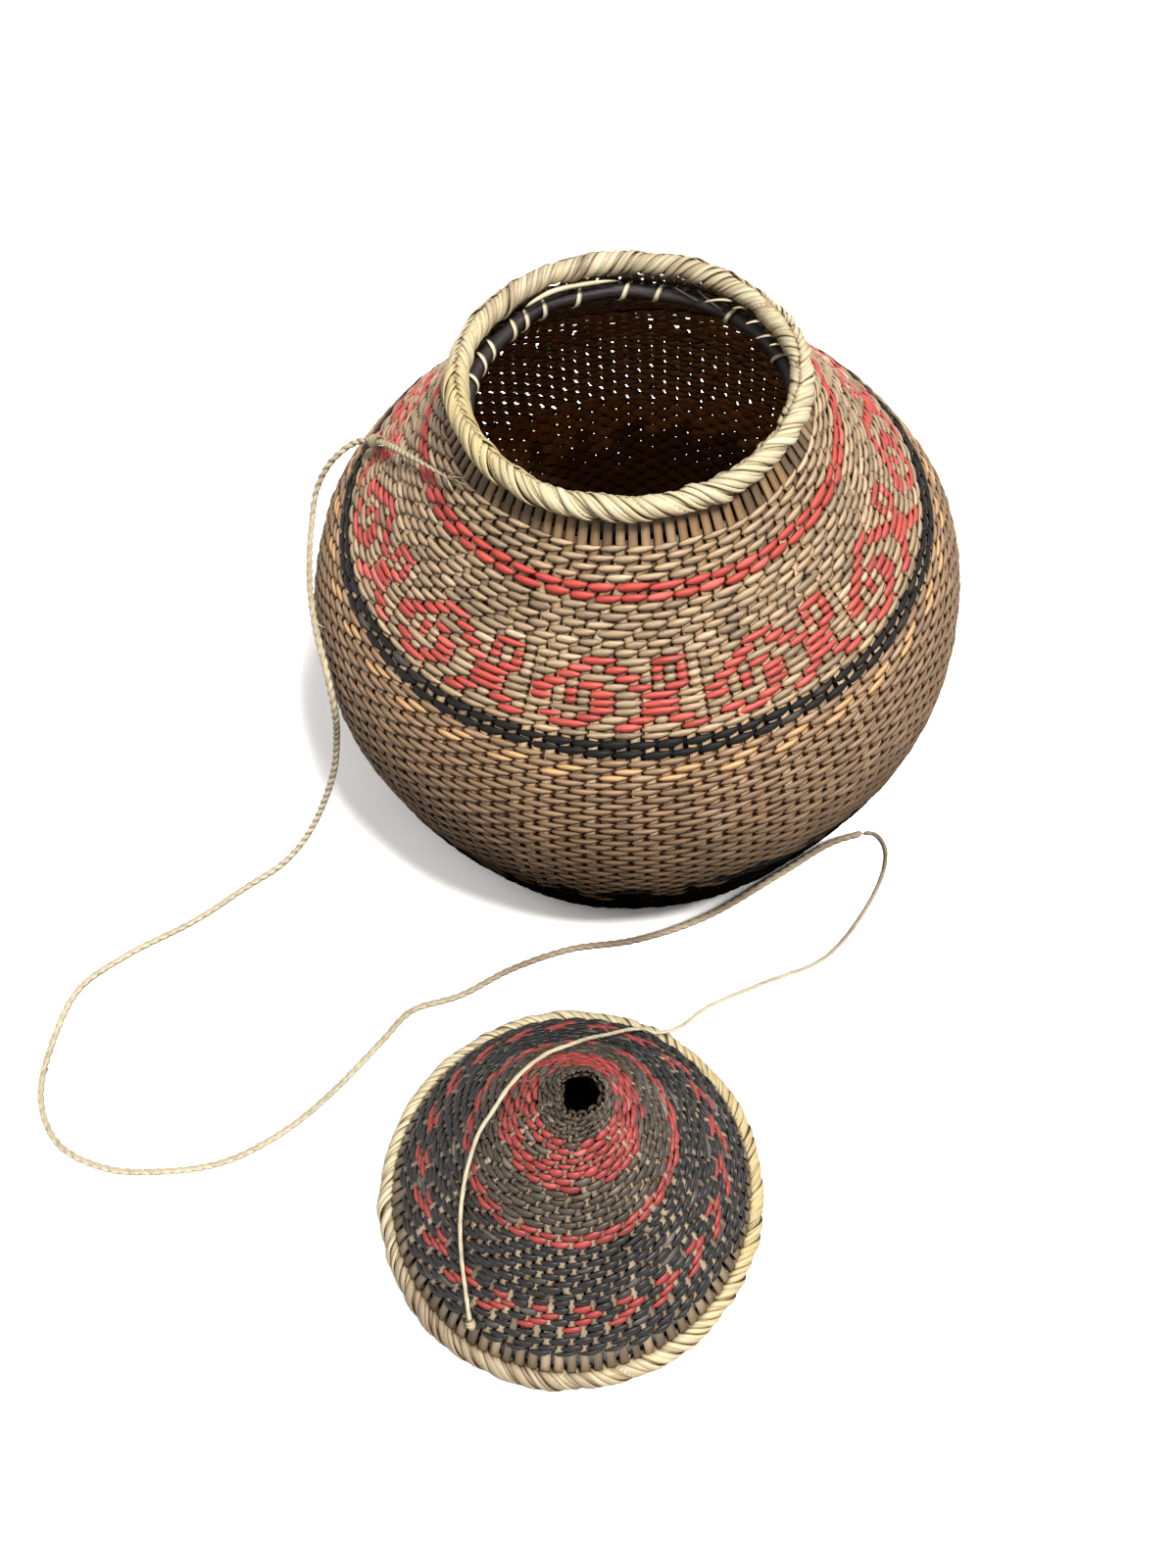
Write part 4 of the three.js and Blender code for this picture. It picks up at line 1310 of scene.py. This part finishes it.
def straw_ring(ring, look, stakes):
    """Straw folded over a ring, its strips meeting in a herringbone seam on the inner side of the top."""
    rng = np.random.default_rng(look.seed)
    count = int(stakes * look.strips)
    number = np.arange(count)[:, None]

    def uneven(share, middle=0):
        return middle + share * rng.standard_normal((count, 1))

    bundles = []
    t = np.linspace(0, 1, 13)
    shape = np.interp(t[1:-1], [0, 0.1, 0.5, 0.9, 1], [0.4, 0.85, 1.0, 0.95, 0.75])
    ends = 0.9 * np.clip(1 - t / 0.14, 0, 1) + 0.5 * np.clip((t - 0.9) / 0.1, 0, 1)
    first = TURN * (number + uneven(STRAW_PLACE_SPREAD)) / count
    scallop = 0.5 + 0.5 * np.sin(TURN * number / 2.7 + 0.8 * np.sin(TURN * number / 11.0))
    seam = look.seam - look.turn * np.sin(first)
    for outside in (True, False):
        start = seam + (0.1 if outside else -0.1)
        end = STRAW_OUTER_END - SCALLOP_REACH * scallop if outside else STRAW_INNER_END
        slant = look.span * (1.0 if outside else 0.72) / ring.radius
        shift = 0 if outside else 0.5 * TURN / count
        angle = first + shift + slant * t * uneven(STRAW_SLANT_SPREAD, 1)
        minor = start + (end - start) * t + uneven(0.05)
        lift = ring.thick - 0.7 + waves(BORDER_WAVES, first) + uneven(STRAW_LIFT_SPREAD)
        lift = lift + (SCALLOP_LIFT * scallop if outside else 0) - ends
        z = ring.centre[2] + lift * np.sin(minor)
        path = round_axis(ring.centre, ring.radius + lift * np.cos(minor), angle, z)
        out = round_axis(AXIS, np.cos(minor), angle, np.sin(minor))
        wide = TURN * ring.radius / count * look.width * uneven(STRAW_WIDTH_SPREAD, 1)
        at = angle[:, 6:7]
        grey = near_heading(at, *look.grey) * np.clip(uneven(0.3, look.age), 0, 1)
        gold = near_heading(at, *look.gold) * 0.65 + np.clip(uneven(0.13, 0.05), 0, 1)
        tone = np.clip(uneven(STRAW_TONE_SPREAD, 0.6), 0, 1)
        body = strands(path, out, wide * shape, 0.5 * shape, 8)
        bundles.append(marked(body, tone=tone[:, 0], golden=np.clip(gold, 0, 1)[:, 0], dyed=grey[:, 0]))
    path = round_axis(ring.centre, ring.radius, np.linspace(0, TURN, 180), ring.centre[2])[None]
    core = strands(path, UP, ring.thick - CORE_DEPTH, ring.thick - CORE_DEPTH, 16)
    return joined(bundles + [marked(core, tone=0.25, golden=0.4, dyed=0.0)])


class BASKET_OT_mouth_border(bpy.types.Operator):
    """The straw border of the mouth"""
    bl_idname = "basket.mouth_border"
    bl_label = "Mouth border"

    def execute(self, context):
        bundle = straw_ring(ring_of("mouth_border"), MOUTH_STRAW, context.scene.basket_weave.neck_stakes)
        border = piece("mouth_straw", settled(bundle, WALL_DENTS), finish_of(context, "straw_border"))
        declare(border, "basket", "straw_border", "mouth_border")
        return {"FINISHED"}


class BASKET_OT_lid_border(bpy.types.Operator):
    """The straw border that the lid stands on"""
    bl_idname = "basket.lid_border"
    bl_label = "Lid border"

    def execute(self, context):
        bundle = straw_ring(ring_of("lid_border"), LID_STRAW, context.scene.basket_weave.lid_stakes)
        border = piece("lid_straw", bundle, finish_of(context, "lid_straw"))
        declare(border, "lid", "straw_border", "lid_border")
        return {"FINISHED"}


def hoop_bundle(ring, rng):
    """The rod with its splinters and the frayed strips that stick out over it."""
    angle = np.linspace(0, TURN, 220) - 0.4
    z = ring.centre[2] + waves(HOOP_RISES, angle)
    path = round_axis(ring.centre, ring.radius + waves(HOOP_WAVES, angle), angle, z)[None]
    thick = ring.thick * (1 + waves(HOOP_LUMPS, angle))
    rod = marked(strands(path, UP, thick[1:-1], ring.thick, 9), tone=0.5, dyed=0.0)
    t = np.linspace(0, 1, 9)
    shreds = []
    for heading, reach, rise in SPLINTERS:
        lift = ring.thick + 0.3
        radius = ring.radius + lift * np.cos(2.0 + 0.6 * rng.random()) * (1 - 0.2 * t)
        a = math.radians(heading) + (t - 0.3) * reach / ring.radius
        shreds.append(round_axis(AXIS, radius, a, ring.centre[2] + lift * 0.8 + rise * t ** 2))
    for a0, r0, a1, r1 in LOOSE_ENDS:
        z = LOOSE_END_HEIGHT - 0.8 * t + 0.8 * np.sin(math.pi * t)
        shreds.append(round_axis(AXIS, between((r0, r1), t), np.radians(between((a0, a1), t)), z))
    loose = strands(np.stack(shreds), UP, np.linspace(1.15, 0.5, 7), 0.35, 6)
    return joined([rod, marked(loose, tone=LOOSE_TONES, dyed=LOOSE_TONES)])


def loose_strip():
    """The lashing that came undone and lies on the hoop."""
    t = np.linspace(0, 1, 14)
    a = np.radians(between((129.0, 88.0), t))
    path = round_axis(AXIS, between((63.5, 65.0), t), a, 236.0 - 2.2 * t + 0.4 * np.sin(5 * t))
    wide = np.interp(t[1:-1], [0, 0.3, 0.75, 1], [0.6, 1.3, 1.1, 0.3])
    body = strands(path[None], round_axis(AXIS, -0.6, a, 0.8)[None], wide, 0.35, 6)
    return marked(body, tone=0.85)


def lashing(ring, heading, rng):
    """A strip bent over the hoop, aslant and open at the wall's side."""
    minor = np.linspace(math.pi + LASHING_BEND, math.pi - LASHING_BEND, 15)
    slant = -(LASHING_SLANT + 0.8 * rng.standard_normal()) / ring.radius * np.linspace(-1, 1, 15)
    a = heading + (slant + 0.5 * rng.standard_normal() / ring.radius)
    lift = ring.thick + LASHING_LIFT
    z = ring.centre[2] + lift * np.sin(minor)
    path = round_axis(AXIS, ring.radius + lift * np.cos(minor), a, z)
    wide = np.interp(np.linspace(0, 1, 13), [0, 0.15, 0.8, 1], [0.7, 1.3, 1.2, 0.5])
    body = strands(path[None], round_axis(AXIS, np.cos(minor), a, np.sin(minor))[None], wide, 0.4, 6)
    return marked(body, tone=0.6 + 0.25 * rng.random())


class BASKET_OT_hoop(bpy.types.Operator):
    """The black hoop inside the mouth and the strips that lash it to the wall"""
    bl_idname = "basket.hoop"
    bl_label = "Hoop and lashings"

    def execute(self, context):
        ring = ring_of("inner_hoop")
        rng = np.random.default_rng(HOOP_SEED)
        rod = settled(hoop_bundle(ring, rng), WALL_DENTS)
        declare(piece("mouth_hoop", rod, finish_of(context, "hoop")), "basket", "hoop", "inner_hoop")
        finish = finish_of(context, "raffia")
        declare(piece("loose_lashing", settled(loose_strip(), WALL_DENTS), finish), "basket", "raffia")
        places = []
        for number in range(1, LASHINGS + 1):
            node = f"hoop_lashing_{number:02d}"
            low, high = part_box(node)
            middle = (low + high) / 2
            places.append((f"lashing_{number:02d}", math.atan2(middle.y, middle.x), [node]))
        for number, heading in enumerate(EXTRA_LASHINGS, 1):
            places.append((f"extra_lashing_{number:02d}", math.radians(heading), []))
        for name, heading, nodes in places:
            strip = settled(lashing(ring, heading, rng), WALL_DENTS)
            declare(piece(name, strip, finish), "basket", "raffia", *nodes)
        return {"FINISHED"}


# Stage

def photo_camera(scene):
    """The camera that took the photograph, which was held a little askew."""
    forward = Vector((0, math.cos(CAMERA_PITCH), -math.sin(CAMERA_PITCH)))
    right = Vector((1, 0, 0))
    up = right.cross(forward)
    tilted = math.cos(CAMERA_ROLL) * right + math.sin(CAMERA_ROLL) * up
    upright = -math.sin(CAMERA_ROLL) * right + math.cos(CAMERA_ROLL) * up
    turn = Matrix((tilted, upright, -forward)).transposed()
    data = bpy.data.cameras.new("photo_camera")
    data.sensor_width = SENSOR_WIDTH
    data.lens = CAMERA_FOCUS * SENSOR_WIDTH
    data.clip_end = 50.0
    camera = bpy.data.objects.new("photo_camera", data)
    camera.matrix_world = Matrix.Translation(CAMERA_PLACE) @ turn.to_4x4()
    scene.collection.objects.link(camera)
    scene.camera = camera


def studio_floor(scene):
    """A pale round floor with painted shade close to what stands on it."""
    mesh = bpy.data.meshes.new("studio_floor")
    angles = np.linspace(0, TURN, FLOOR_CORNERS, endpoint=False)
    ring = [(FLOOR_RADIUS * math.cos(a), FLOOR_RADIUS * math.sin(a), 0) for a in angles]
    mesh.from_pydata(ring, [], [list(range(FLOOR_CORNERS))])
    floor = bpy.data.objects.new("studio_floor", mesh)
    scene.collection.objects.link(floor)
    material = bpy.data.materials.get("studio_floor") or bpy.data.materials.new("studio_floor")
    n = Nodes(material)
    path = n.add("ShaderNodeLightPath").outputs
    mirrored = n.math("MAXIMUM", path["Is Glossy Ray"], path["Is Transmission Ray"])
    tint = n.mix(n.noise(Scale=3.0, Detail=2.0), *FLOOR_TINTS)
    # Painted shade on the floor where things stand close over it.
    for reach, dark, clear, rays in PAINTED_FLOOR_SHADE:
        painted_shade = n.ramp(n.openness(reach, rays), ((dark, (0.0, 0.0, 0.0)), (clear, (1.0, 1.0, 1.0))))
        tint = n.shade(tint, painted_shade)
    other = n.mix(mirrored, FLOOR_LIGHT, FLOOR_MIRRORED)
    n.surface(n.add("ShaderNodeBsdfDiffuse", {"Color": n.mix(path["Is Camera Ray"], other, tint)}))
    mesh.materials.append(material)


def studio_sky(scene, strength):
    """Soft light from all round, seen as white."""
    scene.world = bpy.data.worlds.new("studio_sky")
    n = Nodes(scene.world, "ShaderNodeOutputWorld")
    lit = n.add("ShaderNodeBackground", {"Color": SKY_TINT, "Strength": strength})
    white = n.add("ShaderNodeBackground", {"Color": WHITE})
    path = n.add("ShaderNodeLightPath").outputs
    seen = n.math("MAXIMUM", path["Is Camera Ray"], path["Is Glossy Ray"])
    seen = n.math("MAXIMUM", seen, path["Is Transmission Ray"])
    n.surface(n.add("ShaderNodeMixShader", {0: seen, 1: lit.outputs[0], 2: white.outputs[0]}))


def studio_lamps(scene, key_strength):
    for name, (place, spread, share) in LAMPS.items():
        lamp = bpy.data.lights.new(name, "SUN")
        lamp.angle = math.radians(spread)
        lamp.energy = key_strength * share
        lamp.color = LAMP_TINT
        holder = bpy.data.objects.new(name, lamp)
        holder.location = place
        holder.rotation_euler = (-Vector(place)).to_track_quat("-Z", "Y").to_euler()
        scene.collection.objects.link(holder)


class BASKET_OT_stage(bpy.types.Operator):
    """Camera, floor, lamps and sky"""
    bl_idname = "basket.stage"
    bl_label = "Stage"

    def execute(self, context):
        scene = context.scene
        photo_camera(scene)
        studio_floor(scene)
        studio_sky(scene, scene.basket_stage.sky_strength)
        studio_lamps(scene, scene.basket_stage.key_strength)
        scene.view_settings.view_transform = "Standard"
        return {"FINISHED"}


OPERATORS = (
    BASKET_OT_stage, BASKET_OT_cord, BASKET_OT_base_weave, BASKET_OT_wall_weave, BASKET_OT_stakes,
    BASKET_OT_mouth_border, BASKET_OT_hoop, BASKET_OT_lid_weave, BASKET_OT_lid_stakes, BASKET_OT_lid_border,
)


class BASKET_PT_panel(bpy.types.Panel):
    """The basket's pieces in the order they are made"""
    bl_label = "Lidded Woven Basket"
    bl_idname = "BASKET_PT_panel"
    bl_space_type = "VIEW_3D"
    bl_region_type = "UI"
    bl_category = "Basket"

    def draw(self, context):
        for group in (context.scene.basket_weave, context.scene.basket_colours, context.scene.basket_stage):
            box = self.layout.box()
            for key in group.__annotations__:
                box.prop(group, key)
        for operator in OPERATORS:
            self.layout.operator(operator.bl_idname)


CLASSES = (WeaveSizes, FibreColours, StageSettings, *OPERATORS, BASKET_PT_panel)


def register():
    for cls in CLASSES:
        bpy.utils.register_class(cls)
    bpy.types.Scene.basket_weave = PointerProperty(type=WeaveSizes)
    bpy.types.Scene.basket_colours = PointerProperty(type=FibreColours)
    bpy.types.Scene.basket_stage = PointerProperty(type=StageSettings)


def unregister():
    del bpy.types.Scene.basket_weave
    del bpy.types.Scene.basket_colours
    del bpy.types.Scene.basket_stage
    for cls in reversed(CLASSES):
        bpy.utils.unregister_class(cls)


def main():
    register()
    for operator in OPERATORS:
        group, name = operator.bl_idname.split(".")
        getattr(getattr(bpy.ops, group), name)()


if __name__ == "__main__":
    main()
